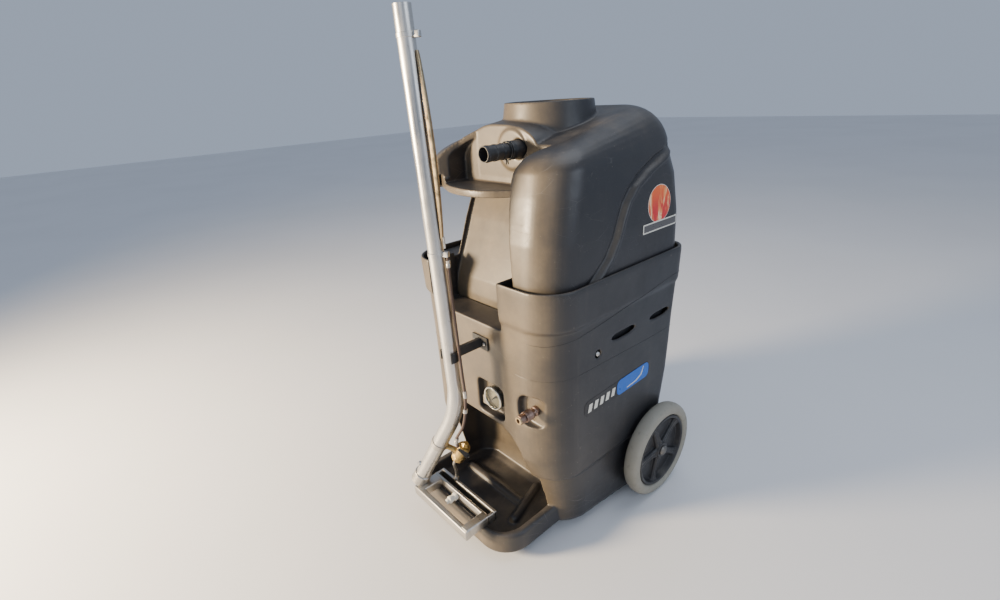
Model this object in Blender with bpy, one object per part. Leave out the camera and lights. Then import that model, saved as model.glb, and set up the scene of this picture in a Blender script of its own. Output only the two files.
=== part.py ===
"""Portable carpet extractor with its floor wand, as separate sub-parts.

Metres, +Z up.  The machine's front faces -Y and its right side +X.  Every position below is in the
machine's own frame, whose parent empty puts the middle of the whole object's footprint at the origin.
"""
import bpy
import bmesh
from math import cos, pi, radians, sin, sqrt
from mathutils import Matrix, Vector

# ---------------------------------------------------------------- driving dimensions
FOOTPRINT_SHIFT_Y = -0.0056      # brings the middle of the footprint to y = 0
GAP = 0.0003                    # clearance between touching pieces
WALL = 0.005                    # moulded polyethylene wall

WHEEL_RADIUS = 0.127            # ten inch wheels
WHEEL_WIDTH = 0.040
WHEEL_OUTER_X = 0.280           # outer face of the tyre
HUB_RADIUS = 0.098
AXLE_RADIUS = 0.0079
AXLE_Y = 0.195
AXLE_Z = WHEEL_RADIUS

RIM_Z = 0.655                   # top edge of the lower moulding
BODY_HALF = 0.233               # half width of the lower moulding
FRONT_Y = -0.170                # flat of the front face
TANK_SEAT_Z = 0.455             # the recovery tank rests here
DECK_Z = 0.300                  # floor of the solution tank, roof of the motor bay
TOE_FRONT_Y = -0.279
TOE_HALF = 0.180
TOE_RIM_Z = 0.078
TOE_UNDER_Z = 0.020

RECESS_LEFT_X = -0.155          # bay in the middle of the front
RECESS_RIGHT_X = 0.087
PILLAR_LEFT_X = 0.104           # the tank's pillar at the right of the bay
PILLAR_LEAN = 0.125             # its left face moves outwards as it goes down
SHELF_Z = 0.545
BAY_WALL_Y = -0.093
HOOD_UNDER_Z = 0.812
ALCOVE_FLOOR_Z = 0.828
HOOD_TOP_Z = 0.950
ALCOVE_DEPTH_Y = -0.048

NECK_Y = 0.087
NECK_RADIUS = 0.1085
NECK_TOP_RADIUS = 0.0995
NECK_TOP_Z = 0.991
DECK_SLOPE = 0.24               # the tank's top falls towards the front
SHOULDER_Z = 0.868
SHOULDER_RADIUS = 0.078

BARB_X, BARB_Z = 0.041, 0.904
BARB_MOUTH_RADIUS, BARB_BORE_RADIUS = 0.0162, 0.0132
STANDPIPE_X, STANDPIPE_Y = -0.085, 0.120
STANDPIPE_RADIUS = 0.025

WAND_RADIUS = 0.016
LEG_RADIUS = 0.019
WAND_TOP = Vector((0.0185, -0.2775, 1.158))
WAND_LOW = Vector((0.0170, -0.2550, 0.4320))
BEND_Z = 0.356
LEG_END = Vector((-0.112, -0.3061, 0.1060))
CLIP_Z = 0.497
HEAD_Z = 0.0914                 # middle height of the wand's head
VALVE_AT = Vector((-0.004, -0.2430, 0.2180))
ROD_OFFSET = Vector((0.0235, 0.0100, 0.0))
PULL_LOW_Z, PULL_TOP_Z = 0.755, 1.088
HEAD_X = (-0.106, 0.106)
HEAD_Y = (-0.314, -0.234)

PANEL_Y = 0.2570                # seat of the switch panel at the rear
GAUGE_X, GAUGE_Z, GAUGE_RADIUS = 0.044, 0.357, 0.0300
GAUGE_SEAT_Y = -0.1480
COUPLER_X, COUPLER_Z, COUPLER_SEAT_Y = 0.168, 0.374, -0.1500
DRAIN_AT = Vector((-0.150, 0.2690, 0.332))

ROUND_SIDES = 40


# ---------------------------------------------------------------- scene and materials
def clear_scene():
    """Leave nothing in the file but what is modelled here."""
    for item in list(bpy.data.objects):
        bpy.data.objects.remove(item, do_unlink=True)


def make_material(name, color, roughness, metallic=0.0):
    material = bpy.data.materials.new(name)
    material.use_nodes = True
    shader = material.node_tree.nodes["Principled BSDF"]
    shader.inputs["Base Color"].default_value = (*color, 1.0)
    shader.inputs["Roughness"].default_value = roughness
    shader.inputs["Metallic"].default_value = metallic
    material.diffuse_color = (*color, 1.0)
    return material


clear_scene()
BLACK_PE = make_material("black_polyethylene", (0.030, 0.030, 0.032), 0.45)
BLACK_STEEL = make_material("black_steel", (0.025, 0.025, 0.027), 0.40, 0.6)
STEEL = make_material("stainless_steel", (0.62, 0.60, 0.57), 0.28, 1.0)
CHROME = make_material("chrome", (0.80, 0.80, 0.80), 0.10, 1.0)
BRASS = make_material("brass", (0.62, 0.45, 0.20), 0.35, 1.0)
GREY_TYRE = make_material("grey_tyre", (0.36, 0.34, 0.31), 0.80)
BLACK_HUB = make_material("black_hub", (0.020, 0.020, 0.021), 0.45)
RUBBER = make_material("rubber", (0.020, 0.020, 0.020), 0.75)
DIAL_WHITE = make_material("dial_white", (0.80, 0.78, 0.70), 0.50)
CLEAR = make_material("clear_plastic", (0.85, 0.88, 0.90), 0.05)
RED = make_material("red_plastic", (0.45, 0.02, 0.02), 0.35)
ALUMINIUM = make_material("aluminium", (0.55, 0.55, 0.56), 0.45, 1.0)
WHITE_PLASTIC = make_material("white_plastic", (0.78, 0.78, 0.74), 0.40)

MACHINE = bpy.data.objects.new("machine_frame", None)
MACHINE.location = (0.0, FOOTPRINT_SHIFT_Y, 0.0)
bpy.context.collection.objects.link(MACHINE)
bpy.context.view_layer.update()


# ---------------------------------------------------------------- mesh helpers
def make_object(name, vertices, faces, material, origin=(0.0, 0.0, 0.0), sharp=35.0):
    """A closed mesh object from points given in the machine's frame."""
    origin = Vector(origin)
    mesh = bpy.data.meshes.new(name)
    mesh.from_pydata([Vector(v) - origin for v in vertices], [], faces)
    build = bmesh.new()
    build.from_mesh(mesh)
    bmesh.ops.remove_doubles(build, verts=build.verts, dist=1e-6)
    bmesh.ops.recalc_face_normals(build, faces=build.faces)
    build.to_mesh(mesh)
    build.free()
    mesh.materials.append(material)
    mesh.shade_smooth()
    mesh.set_sharp_from_angle(angle=radians(sharp))
    item = bpy.data.objects.new(name, mesh)
    item.parent = MACHINE
    item.location = origin
    bpy.context.collection.objects.link(item)
    return item


def loft(name, rings, material, origin=(0.0, 0.0, 0.0)):
    """Skin a stack of rings, each with the same number of points, and cap both ends."""
    count = len(rings[0])
    vertices = [p for ring in rings for p in ring]
    faces = [tuple(reversed(range(count)))]
    for level in range(len(rings) - 1):
        low, high = level * count, (level + 1) * count
        for i in range(count):
            j = (i + 1) % count
            faces.append((low + i, low + j, high + j, high + i))
    last = (len(rings) - 1) * count
    faces.append(tuple(last + i for i in range(count)))
    return make_object(name, vertices, faces, material, origin)


def frame_matrix(point, axis):
    """A frame at the point whose Z runs along the axis."""
    return Matrix.Translation(Vector(point)) @ Vector(axis).to_track_quat("Z", "Y").to_matrix().to_4x4()


def lathe(name, profile, material, point=(0, 0, 0), axis=(0, 0, 1), sides=ROUND_SIDES, origin=None):
    """Turn a closed (radius, height) outline about an axis; radius 0 closes it on the axis."""
    place = frame_matrix(point, axis)
    vertices, rows = [], []
    for radius, height in profile:
        if radius < 1e-9:
            rows.append([len(vertices)] * sides)
            vertices.append(place @ Vector((0, 0, height)))
            continue
        rows.append([len(vertices) + i for i in range(sides)])
        for i in range(sides):
            angle = 2 * pi * i / sides
            vertices.append(place @ Vector((radius * cos(angle), radius * sin(angle), height)))
    faces = []
    closed = profile[0][0] > 1e-9
    steps = len(rows) if closed else len(rows) - 1
    for k in range(steps):
        low, high = rows[k], rows[(k + 1) % len(rows)]
        for i in range(sides):
            j = (i + 1) % sides
            corners = []
            for index in (low[i], low[j], high[j], high[i]):
                if index not in corners:
                    corners.append(index)
            faces.append(tuple(corners))
    return make_object(name, vertices, faces, material, point if origin is None else origin)


def cylinder(name, radius, low, high, material, point=(0, 0, 0), axis=(0, 0, 1), sides=24, edge=0.0):
    """A solid rod along an axis, with chamfered ends when edge is given."""
    profile = [(0, low), (radius - edge, low), (radius, low + edge), (radius, high - edge), (radius - edge,
            high),
               (0, high)]
    if edge == 0.0:
        profile = [(0, low), (radius, low), (radius, high), (0, high)]
    return lathe(name, profile, material, point, axis, sides)


def ring_solid(name, inner, outer, low, high, material, point=(0, 0, 0), axis=(0, 0, 1), sides=ROUND_SIDES):
    """A tube or washer along an axis."""
    profile = [(outer, low), (outer, high), (inner, high), (inner, low)]
    return lathe(name, profile, material, point, axis, sides)


def block(name, low, high, material, bevel=0.0, steps=1):
    """A box between two corners with rounded edges."""
    low, high = Vector(low), Vector(high)
    build = bmesh.new()
    bmesh.ops.create_cube(build, size=1.0)
    size = high - low
    bmesh.ops.scale(build, vec=size, verts=build.verts)
    if bevel:
        bmesh.ops.bevel(build, geom=build.edges[:], offset=bevel, segments=steps, affect="EDGES", profile=0.5)
    middle = (low + high) / 2
    vertices = [v.co + middle for v in build.verts]
    build.verts.index_update()
    faces = [tuple(v.index for v in face.verts) for face in build.faces]
    build.free()
    return make_object(name, vertices, faces, material, middle)


def sweep_rings(path, radius, sides):
    """Rings of a round section carried along a path without twist."""
    path = [Vector(p) for p in path]
    tangents = []
    for i in range(len(path)):
        ahead, behind = path[min(i + 1, len(path) - 1)], path[max(i - 1, 0)]
        tangents.append((ahead - behind).normalized())
    side = tangents[0].orthogonal().normalized()
    rings = []
    for point, tangent in zip(path, tangents):
        side = (side - tangent * side.dot(tangent)).normalized()
        up = tangent.cross(side)
        angles = [2 * pi * i / sides for i in range(sides)]
        rings.append([point + side * radius * cos(a) + up * radius * sin(a) for a in angles])
    return rings


def rod_along(name, path, radius, material, sides=12):
    return loft(name, sweep_rings(path, radius, sides), material, path[0])


def tube_along(name, path, radius, wall, material, sides=24):
    """An open-ended pipe along a path."""
    outer = sweep_rings(path, radius, sides)
    inner = sweep_rings(path, radius - wall, sides)
    rings = outer + inner[::-1]
    vertices = [p for ring in rings for p in ring]
    faces = []
    for level in range(len(rings)):
        low, high = level * sides, ((level + 1) % len(rings)) * sides
        for i in range(sides):
            j = (i + 1) % sides
            faces.append((low + i, low + j, high + j, high + i))
    return make_object(name, vertices, faces, material, path[0])


def combine(target, other, operation):
    """Boolean the other object into the target and drop it."""
    bpy.context.view_layer.update()
    modifier = target.modifiers.new(operation.lower(), "BOOLEAN")
    modifier.operation = operation
    modifier.solver = "EXACT"
    modifier.object = other
    graph = bpy.context.evaluated_depsgraph_get()
    result = bpy.data.meshes.new_from_object(target.evaluated_get(graph))
    target.modifiers.remove(modifier)
    target.data = result
    result.name = target.name
    while len(result.materials) > 1:
        result.materials.pop(index=len(result.materials) - 1)
    result.set_sharp_from_angle(angle=radians(35))
    bpy.data.objects.remove(other, do_unlink=True)
    return target


def cut(target, *others):
    for other in others:
        combine(target, other, "DIFFERENCE")
    return target


def join(target, *others):
    for other in others:
        combine(target, other, "UNION")
    return target


def smooth_path(points, steps):
    """Points of a Catmull-Rom curve through the given ones."""
    points = [Vector(p) for p in points]
    points = [2 * points[0] - points[1]] + points + [2 * points[-1] - points[-2]]
    path = []
    for i in range(1, len(points) - 2):
        a, b, c, d = points[i - 1:i + 3]
        for k in range(steps):
            t = k / steps
            path.append(0.5 * (2 * b + (c - a) * t + (2 * a - 5 * b + 4 * c - d) * t * t
                               + (3 * b - a - 3 * c + d) * t ** 3))
    path.append(points[-2])
    return path


# ---------------------------------------------------------------- outlines of the mouldings
def outline(z, half_front, half_back, front, back, radius_front, radius_back, steps=5):
    """A rounded four-sided ring, anticlockwise seen from above."""
    corners = ((half_back, back, radius_back, 0.0), (-half_back, back, radius_back, 90.0),
               (-half_front, front, radius_front, 180.0), (half_front, front, radius_front, 270.0))
    ring = []
    for x, y, radius, start in corners:
        centre_x = x - radius if x > 0 else x + radius
        centre_y = y - radius if start < 180.0 else y + radius
        for k in range(steps + 1):
            angle = radians(start + 90.0 * k / steps)
            ring.append(Vector((centre_x + radius * cos(angle), centre_y + radius * sin(angle), z)))
    return ring


def lower_outer(name):
    """Outer form of the lower moulding without its toe."""
    rings = [outline(*row) for row in (
        (TOE_UNDER_Z + 0.004, 0.208, 0.228, -0.120, 0.236, 0.095, 0.035),
        (0.036, 0.212, 0.230, -0.122, 0.246, 0.095, 0.040),
        (0.100, 0.217, 0.231, -0.128, 0.254, 0.095, 0.040),
        (0.182, 0.222, BODY_HALF - 0.001, -0.142, 0.258, 0.090, 0.040),
        (0.192, 0.229, BODY_HALF, -0.160, 0.259, 0.085, 0.040),
        (0.240, 0.230, BODY_HALF, FRONT_Y, 0.260, 0.092, 0.038),
        (0.330, 0.230, BODY_HALF, FRONT_Y, 0.268, 0.092, 0.036),
        (0.480, 0.231, BODY_HALF, FRONT_Y, 0.291, 0.088, 0.036),
        (0.562, 0.233, 0.234, FRONT_Y, 0.300, 0.084, 0.038),
        (0.574, 0.239, 0.239, -0.175, 0.304, 0.080, 0.042),
        (0.648, 0.2415, 0.2415, -0.1765, 0.3065, 0.079, 0.044),
        (RIM_Z, 0.2400, 0.2400, -0.1750, 0.3050, 0.078, 0.043))]
    return loft(name, rings, BLACK_PE)


def toe_outer(name):
    """Outer form of the toe that carries the tray."""
    rings = [outline(z, TOE_HALF - inset, TOE_HALF - inset, TOE_FRONT_Y + inset, 0.050, 0.075 - inset, 0.02)
             for z, inset in ((TOE_UNDER_Z, 0.010), (TOE_UNDER_Z + 0.010, 0.0), (TOE_RIM_Z - 0.006, 0.002),
                              (TOE_RIM_Z, 0.008))]
    return loft(name, rings, BLACK_PE)


def scoop_cutter(name):
    """The tray's basin and the arched hollow above it."""
    rings = [outline(*row) for row in (
        (0.034, 0.138, 0.138, -0.252, -0.060, 0.050, 0.050),
        (0.044, 0.154, 0.154, -0.263, -0.040, 0.058, 0.050),
        (TOE_RIM_Z + 0.0005, 0.160, 0.158, -0.267, -0.035, 0.062, 0.050),
        (TOE_RIM_Z + 0.0015, 0.160, 0.158, -0.400, -0.035, 0.030, 0.050),
        (0.190, 0.152, 0.152, -0.400, -0.042, 0.030, 0.050),
        (0.250, 0.128, 0.128, -0.400, -0.062, 0.030, 0.045),
        (0.276, 0.102, 0.102, -0.400, -0.082, 0.030, 0.040),
        (0.293, 0.070, 0.070, -0.400, -0.105, 0.025, 0.030))]
    return loft(name, rings, BLACK_PE)


def pillar_face(z):
    """Where the pillar's left face stands at a height."""
    return PILLAR_LEFT_X + PILLAR_LEAN * (HOOD_UNDER_Z - z)


def recess_cutter(name, grow=0.0):
    """The bay under the hood: a sloping wall that steps back as it rises, clear of the shelf below."""
    profile = ((-0.40, 0.440 - grow), (BAY_WALL_Y + grow, 0.440 - grow), (BAY_WALL_Y + grow, 0.560),
               (-0.070 + grow, 0.640), (-0.035 + grow, 0.730), (-0.008 + grow, 0.790),
               (-0.010 + grow, HOOD_UNDER_Z - 0.005 + grow), (-0.020 + grow, HOOD_UNDER_Z + grow),
               (-0.40, HOOD_UNDER_Z + grow))
    left = RECESS_LEFT_X - WALL - 0.0015 - grow
    rings = [[Vector((left, y, z)) for y, z in profile],
             [Vector((pillar_face(z) + grow, y, z)) for y, z in profile]]
    return loft(name, rings, BLACK_PE)


def corner_cutter(name, grow=0.0):
    """Takes the tank's left front corner away above the lower moulding's left arm."""
    low = RIM_Z - 0.010 - grow
    rings = [[Vector((x, y, z)) for x, y in (
        (-0.30, -0.40), (RECESS_LEFT_X - 0.002, -0.40), (RECESS_LEFT_X - 0.002, wall - 0.020 + grow),
        (-0.190, wall + 0.012 + grow), (-0.240, wall + 0.060 + grow), (-0.30, wall + 0.075 + grow))]
        for z, wall in ((low, -0.066), (0.730, -0.035), (0.790, -0.008), (HOOD_UNDER_Z + grow, -0.010))]
    return loft(name, rings, BLACK_PE)


def hood_outline(inset, y, rise=0.0):
    """Arch across the front of the tank: the hood that covers the hose fitting."""
    floor, side = 0.850, 0.880
    left, right, top = -0.158 + inset, 0.099 - inset, HOOD_TOP_Z - inset + rise
    middle, half = (left + right) / 2, (right - left) / 2
    ring = [Vector((right, y, floor))]
    for k in range(0, 11):
        angle = pi * k / 10
        side_power, top_power = (0.70, 0.80) if k < 6 else (0.95, 1.20)
        reach = abs(cos(angle)) ** side_power * (1 if k < 5 else -1)
        ring.append(Vector((middle + half * reach, y, side + (top - side) * sin(angle) ** top_power)))
    ring.append(Vector((left, y, floor)))
    return ring


def hood_form(name, inset=0.0):
    rings = [hood_outline(inset, y, rise) for y, rise in ((-0.120 + inset, -0.006), (-0.060, 0.0), (0.020,
            0.012))]
    return loft(name, rings, BLACK_PE)


def hood_trim(name, grow=0.0):
    """Slants the hood's front, so that its roof covers the left of the plate and fades out to the right."""
    plate = ALCOVE_DEPTH_Y + grow
    plan = ((-0.190, -0.128 + grow), (-0.158, -0.118 + grow), (-0.128 + grow, -0.074 + grow), (-0.096,
            plate + 0.0005),
            (PILLAR_LEFT_X + grow, plate + 0.0005), (PILLAR_LEFT_X + grow, -0.40), (-0.190, -0.40))
    return loft(name, [[Vector((x, y, z)) for x, y in plan] for z in (0.840 - grow, 1.020)], BLACK_PE)


def alcove_cutter(name, grow=0.0):
    """The arched pocket in the front of the hood, with its flat floor."""
    rings = []
    for y in (-0.300, ALCOVE_DEPTH_Y + grow):
        ring = hood_outline(0.014 - grow, y)
        ring[0].z = ring[-1].z = ALCOVE_FLOOR_Z - grow
        rings.append(ring)
    return loft(name, rings, BLACK_PE)


def tank_form(name, inset=0.0):
    """Outer form of the recovery tank, or its inside when inset is the wall."""
    rows = ((TANK_SEAT_Z + GAP + inset, 0.214, -0.146, 0.262, 0.074, 0.032),
            (0.472 + inset, 0.219, -0.153, 0.268, 0.080, 0.034), (0.560, 0.224, -0.160, 0.281, 0.082, 0.038),
            (RIM_Z, 0.230, -0.163, 0.289, 0.080, 0.044), (0.740, 0.230, -0.157, 0.292, 0.080, 0.052),
            (SHOULDER_Z - 0.040, 0.226, -0.140, 0.287, 0.080, 0.066))
    rings = []
    for z, half, front, back, radius_front, radius_back in rows:
        rings.append(outline(z, half - inset, half - inset, front + inset, back - inset, radius_front - inset,
                             radius_back - inset))
    for step in range(0, 7):
        angle = radians(90.0 * step / 6)
        draw = SHOULDER_RADIUS * (1 - cos(angle)) + inset
        rise = (SHOULDER_RADIUS - inset) * sin(angle)
        ring = outline(SHOULDER_Z + rise, 0.222 - draw, 0.222 - draw, -0.130 + draw, 0.280 - draw,
                       max(0.080 - draw * 0.5, 0.03), max(0.080 - draw * 0.5, 0.03))
        for point in ring:
            point.z += DECK_SLOPE * (point.y - NECK_Y) * (step / 6) ** 0.8
        rings.append(ring)
    return loft(name, rings, BLACK_PE)


def pocket_cutter(name, across, heights, seat, radius, steps=4):
    """A round-cornered pocket sunk into the front face."""
    rings = []
    for y, shrink in ((-0.200, -0.004), (seat - 0.004, 0.002), (seat, 0.006)):
        ring = []
        for right, high, start in ((True, True, 0.0), (False, True, 90.0), (False, False, 180.0), (True,
                False, 270.0)):
            turn_x = across[1] - radius if right else across[0] + radius
            turn_z = heights[1] - radius if high else heights[0] + radius
            for k in range(steps + 1):
                angle = radians(start + 90.0 * k / steps)
                reach = radius - shrink
                ring.append(Vector((turn_x + reach * cos(angle), y, turn_z + reach * sin(angle))))
        rings.append(ring)
    return loft(name, rings, BLACK_PE)


# ---------------------------------------------------------------- lower moulding and its pieces
def build_lower_body():
    shell = join(lower_outer("lower_body"), toe_outer("toe_form"))
    cut(shell, scoop_cutter("scoop_cut"))
    front_bay = block("bay_cut", (RECESS_LEFT_X, -0.30, SHELF_Z), (RECESS_RIGHT_X, -0.060, 0.70), BLACK_PE)
    cut(shell, front_bay)
    cavity = loft("tank_cavity", [outline(*row) for row in (
        (DECK_Z + 0.003, 0.205, 0.205, -0.068, 0.244, 0.060, 0.030),
        (0.400, 0.212, 0.212, -0.108, 0.258, 0.070, 0.032),
        (TANK_SEAT_Z - 0.0005, 0.214, 0.214, -0.140, 0.266, 0.075, 0.034),
        (TANK_SEAT_Z, 0.2255, 0.2265, -0.164, 0.278, 0.085, 0.036),
        (0.560, 0.2275, 0.2285, -0.165, 0.290, 0.082, 0.038),
        (0.580, 0.233, 0.233, -0.169, 0.296, 0.076, 0.040),
        (0.700, 0.236, 0.236, -0.171, 0.300, 0.074, 0.042))], BLACK_PE)
    shelf = block("shelf_form", (RECESS_LEFT_X - WALL, -0.30, SHELF_Z - WALL), (RECESS_RIGHT_X + WALL,
            -0.098, 0.75),
                  BLACK_PE)
    cut(cavity, shelf)
    cut(shell, cavity)
    bay = loft("motor_bay", [outline(z, front_half, back_half, -0.028, back, 0.03, 0.030)
                             for z, front_half, back_half, back in (
                                 (0.010, 0.196, 0.218, 0.226), (0.036, 0.200, 0.222, 0.240),
                                 (0.110, 0.208, 0.224, 0.248), (0.200, 0.220, 0.227, 0.252),
                                 (DECK_Z - 0.005, 0.222, 0.227, 0.255))], BLACK_PE)
    cut(shell, bay)
    cut(shell, block("panel_window", (-0.085, 0.235, 0.207), (0.085, 0.280, 0.283), BLACK_PE))
    cut(shell, block("panel_seat", (-0.096, PANEL_Y, 0.196), (0.096, 0.290, 0.292), BLACK_PE))
    cut(shell, pocket_cutter("gauge_pocket", (GAUGE_X - 0.054, GAUGE_X + 0.037), (GAUGE_Z - 0.051,
            GAUGE_Z + 0.038),
                             GAUGE_SEAT_Y, 0.012))
    cut(shell, pocket_cutter("coupler_pocket", (COUPLER_X - 0.040, COUPLER_X + 0.040),
                             (COUPLER_Z - 0.040, COUPLER_Z + 0.038), COUPLER_SEAT_Y, 0.030))
    cut(shell, cylinder("axle_cut", AXLE_RADIUS + GAP, -0.26, 0.26, BLACK_PE, (0, AXLE_Y, AXLE_Z), (1, 0,
            0), 20))
    cut(shell, cylinder("duct_cut", STANDPIPE_RADIUS + GAP, 0.280, 0.320, BLACK_PE, (STANDPIPE_X,
            STANDPIPE_Y, 0)))
    cut(shell, cylinder("drain_cut", 0.0085 + GAP, -0.04, 0.04, BLACK_PE, DRAIN_AT, (0, 1, 0)))
    for side in (-1, 1):
        for start, end in ((0.026, 0.112), (0.170, 0.252)):
            slot = block("slot_cut", (side * (BODY_HALF + 0.001) - 0.0045, start, 0.494),
                         (side * (BODY_HALF + 0.001) + 0.0045, end, 0.506), BLACK_PE, 0.003)
            cut(shell, slot)
        cut(shell, cylinder("anchor_cut", 0.0065, -0.02, 0.02, BLACK_PE,
                            (side * BODY_HALF, -0.021, 0.482), (1, 0, 0), 16))


def build_base():
    plate = loft("base_plate", [outline(z, 0.168, 0.208, -0.022, 0.218, 0.025, 0.025, 3) for z in (0.0225,
            0.0255)],
                 ALUMINIUM)
    cut(plate, cylinder("vent_cut", 0.030, 0.0, 0.05, ALUMINIUM, (0.0, 0.165, 0), (0, 0, 1), 20))
    for side, name in ((-1, "left"), (1, "right")):
        cylinder("foot_" + name, 0.019, 0.0, TOE_UNDER_Z - GAP, RUBBER, (side * 0.115, -0.205, 0), (0, 0,
                1), 24, 0.003)
        cylinder("anchor_bolt_" + name, 0.0055, 0.0, 0.0110, STEEL, (side * 0.2215, -0.021, 0.482), (side,
                0, 0), 12,
                 0.0008)


def build_wheels():
    rod = cylinder("axle", AXLE_RADIUS, -0.2815, 0.2815, STEEL, (0, AXLE_Y, AXLE_Z), (1, 0, 0), 20, 0.001)
    half = WHEEL_WIDTH / 2
    for side, name in ((-1, "left"), (1, "right")):
        centre = (side * (WHEEL_OUTER_X - half), AXLE_Y, AXLE_Z)
        axis = (side, 0, 0)
        r = WHEEL_RADIUS
        tyre = [(HUB_RADIUS + GAP, -half + 0.006), (HUB_RADIUS + 0.007, -half), (r - 0.012, -half + 0.001),
                (r - 0.003, -half + 0.008), (r, 0.0 - 0.004), (r, 0.004), (r - 0.003, half - 0.008),
                (r - 0.012, half - 0.001), (HUB_RADIUS + 0.007, half), (HUB_RADIUS + GAP, half - 0.006)]
        lathe("tyre_" + name, tyre, GREY_TYRE, centre, axis, 32)
        hub_profile = [(AXLE_RADIUS + GAP, -half - 0.0015), (0.020, -half - 0.0015), (0.020, -0.005),
                       (0.084, -0.005),
                       (0.090, -half + 0.005), (HUB_RADIUS, -half + 0.005), (HUB_RADIUS, half - 0.004),
                       (0.091, half - 0.003), (0.086, 0.001), (0.024, 0.001), (0.021, half - 0.003),
                       (AXLE_RADIUS + GAP, half - 0.003)]
        hub = lathe("hub_" + name, hub_profile, BLACK_HUB, centre, axis, 32)
        for k in range(5):
            angle = 2 * pi * k / 5 + radians(20)
            turn = Matrix.Translation(Vector(centre)) @ Matrix.Rotation(angle, 4, "X")
            corners = [turn @ Vector((side * x, s * w, z)) for z, w in ((0.0165, 0.013), (0.0930, 0.009))
                       for x, s in ((-0.003, -1), (-0.003, 1), (0.012, 1), (0.012, -1))]
            join(hub, loft("spoke", [corners[:4], corners[4:]], BLACK_HUB))
        lathe("axle_cap_" + name, [(0, half + 0.0045), (0.008, half + 0.004), (0.0135, half + 0.001),
                                   (0.0135, half - 0.003 + GAP), (AXLE_RADIUS + GAP, half - 0.003 + GAP),
                                   (AXLE_RADIUS + GAP, half + 0.0022), (0, half + 0.0022)],
              STEEL, centre, axis, 24)
        join(rod, ring_solid("collar", AXLE_RADIUS - 0.001, 0.0135, 0.2335,
                             WHEEL_OUTER_X - WHEEL_WIDTH - 0.0018,
                             STEEL, (0, AXLE_Y, AXLE_Z), axis, 20))


def build_motor_bay():
    for side, name in ((-1, "left"), (1, "right")):
        x = side * 0.106
        profile = [(0, 0.027), (0.054, 0.027), (0.064, 0.034), (0.064, 0.085), (0.058, 0.090), (0.042, 0.094),
                   (0.042, 0.168), (0.028, 0.178), (0, 0.178)]
        lathe("vacuum_motor_" + name, profile, ALUMINIUM, (x, 0.060, 0), (0, 0, 1), 24)
    body = cylinder("pump_motor", 0.036, 0.0, 0.105, BLACK_STEEL, (0.0, 0.050, 0.075), (0, 0, 1), 24, 0.003)
    join(body, block("motor_foot", (-0.030, 0.020, 0.0258), (0.030, 0.080, 0.0765), BLACK_STEEL))
    block("pump_head", (-0.027, 0.024, 0.1803), (0.027, 0.076, 0.226), BRASS, 0.004)
    heater = cylinder("heater", 0.024, -0.165, 0.165, STEEL, (0.0, 0.168, 0.238), (1, 0, 0), 24, 0.004)
    duct = ring_solid("vacuum_duct", STANDPIPE_RADIUS - 0.003, STANDPIPE_RADIUS, 0.2700, TANK_SEAT_Z - 0.0005,
                      BLACK_PE, (STANDPIPE_X, STANDPIPE_Y, 0), (0, 0, 1), 28)
    feed = smooth_path([(0.0, 0.050, 0.2275), (0.0, 0.050, 0.250), (0.030, 0.065, 0.274), (0.085, 0.115,
            0.282),
                        (0.120, 0.160, 0.280), (0.1215, 0.168, 0.272), (0.1215, 0.168, 0.2640)], 3)
    rod_along("pump_hose", feed, 0.006, RUBBER, 8)


def build_rear_panel():
    seat = PANEL_Y + GAP
    panel = block("switch_panel", (-0.094, seat, 0.198), (0.094, seat + 0.0025, 0.290), ALUMINIUM, 0.0006)
    spots = (("pump_switch", -0.065), ("vacuum_switch_left", -0.037), ("vacuum_switch_right", -0.009))
    for name, x in spots:
        cut(panel, block("switch_cut", (x - 0.0103, 0.20, 0.2287), (x + 0.0103, 0.30, 0.2613), ALUMINIUM))
        frame = block(name + "_frame", (x - 0.010, seat - 0.016, 0.229), (x + 0.010, seat + 0.0036, 0.261),
                      BLACK_HUB)
        join(frame, block("lip", (x - 0.0125, seat + 0.0028, 0.2265), (x + 0.0125, seat + 0.0045, 0.2635),
                          BLACK_HUB))
        cut(frame, block("well", (x - 0.0075, seat - 0.0125, 0.2325), (x + 0.0075, 0.30, 0.2575), BLACK_HUB))
        pivot = Vector((x, seat + 0.0010, 0.245))
        side_view = ((-0.0108, 0.0010), (-0.0108, 0.0066), (0.0, 0.0042), (0.0108, 0.0042), (0.0108, -0.0018),
                     (0.0, -0.0060), (-0.0060, -0.0060))
        rings = [[pivot + Vector((dx, y, z)) for z, y in side_view] for dx in (-0.0070, 0.0070)]
        loft(name, rings, RED if x < -0.05 else BLACK_HUB, pivot)
    for name, x in (("power_inlet_left", 0.028), ("power_inlet_right", 0.066)):
        cut(panel, cylinder("inlet_cut", 0.0125, -0.03, 0.03, ALUMINIUM, (x, PANEL_Y, 0.245), (0, 1, 0), 20))
        profile = [(0, -0.010), (0.0120, -0.010), (0.0120, 0.0028), (0.0165, 0.0028), (0.0165, 0.0060),
                   (0.0145, 0.0085), (0.0105, 0.0085), (0.0105, -0.0040), (0, -0.0040)]
        shell = lathe(name, profile, BLACK_HUB, (x, seat, 0.245), (0, 1, 0), 20)
        for turn in (90, 210, 330):
            spot = (x + 0.0052 * cos(radians(turn)), seat, 0.245 + 0.0052 * sin(radians(turn)))
            join(shell, block("blade", (spot[0] - 0.0008, seat - 0.006, spot[2] - 0.0024),
                              (spot[0] + 0.0008, seat + 0.005, spot[2] + 0.0024), BLACK_HUB))


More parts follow.
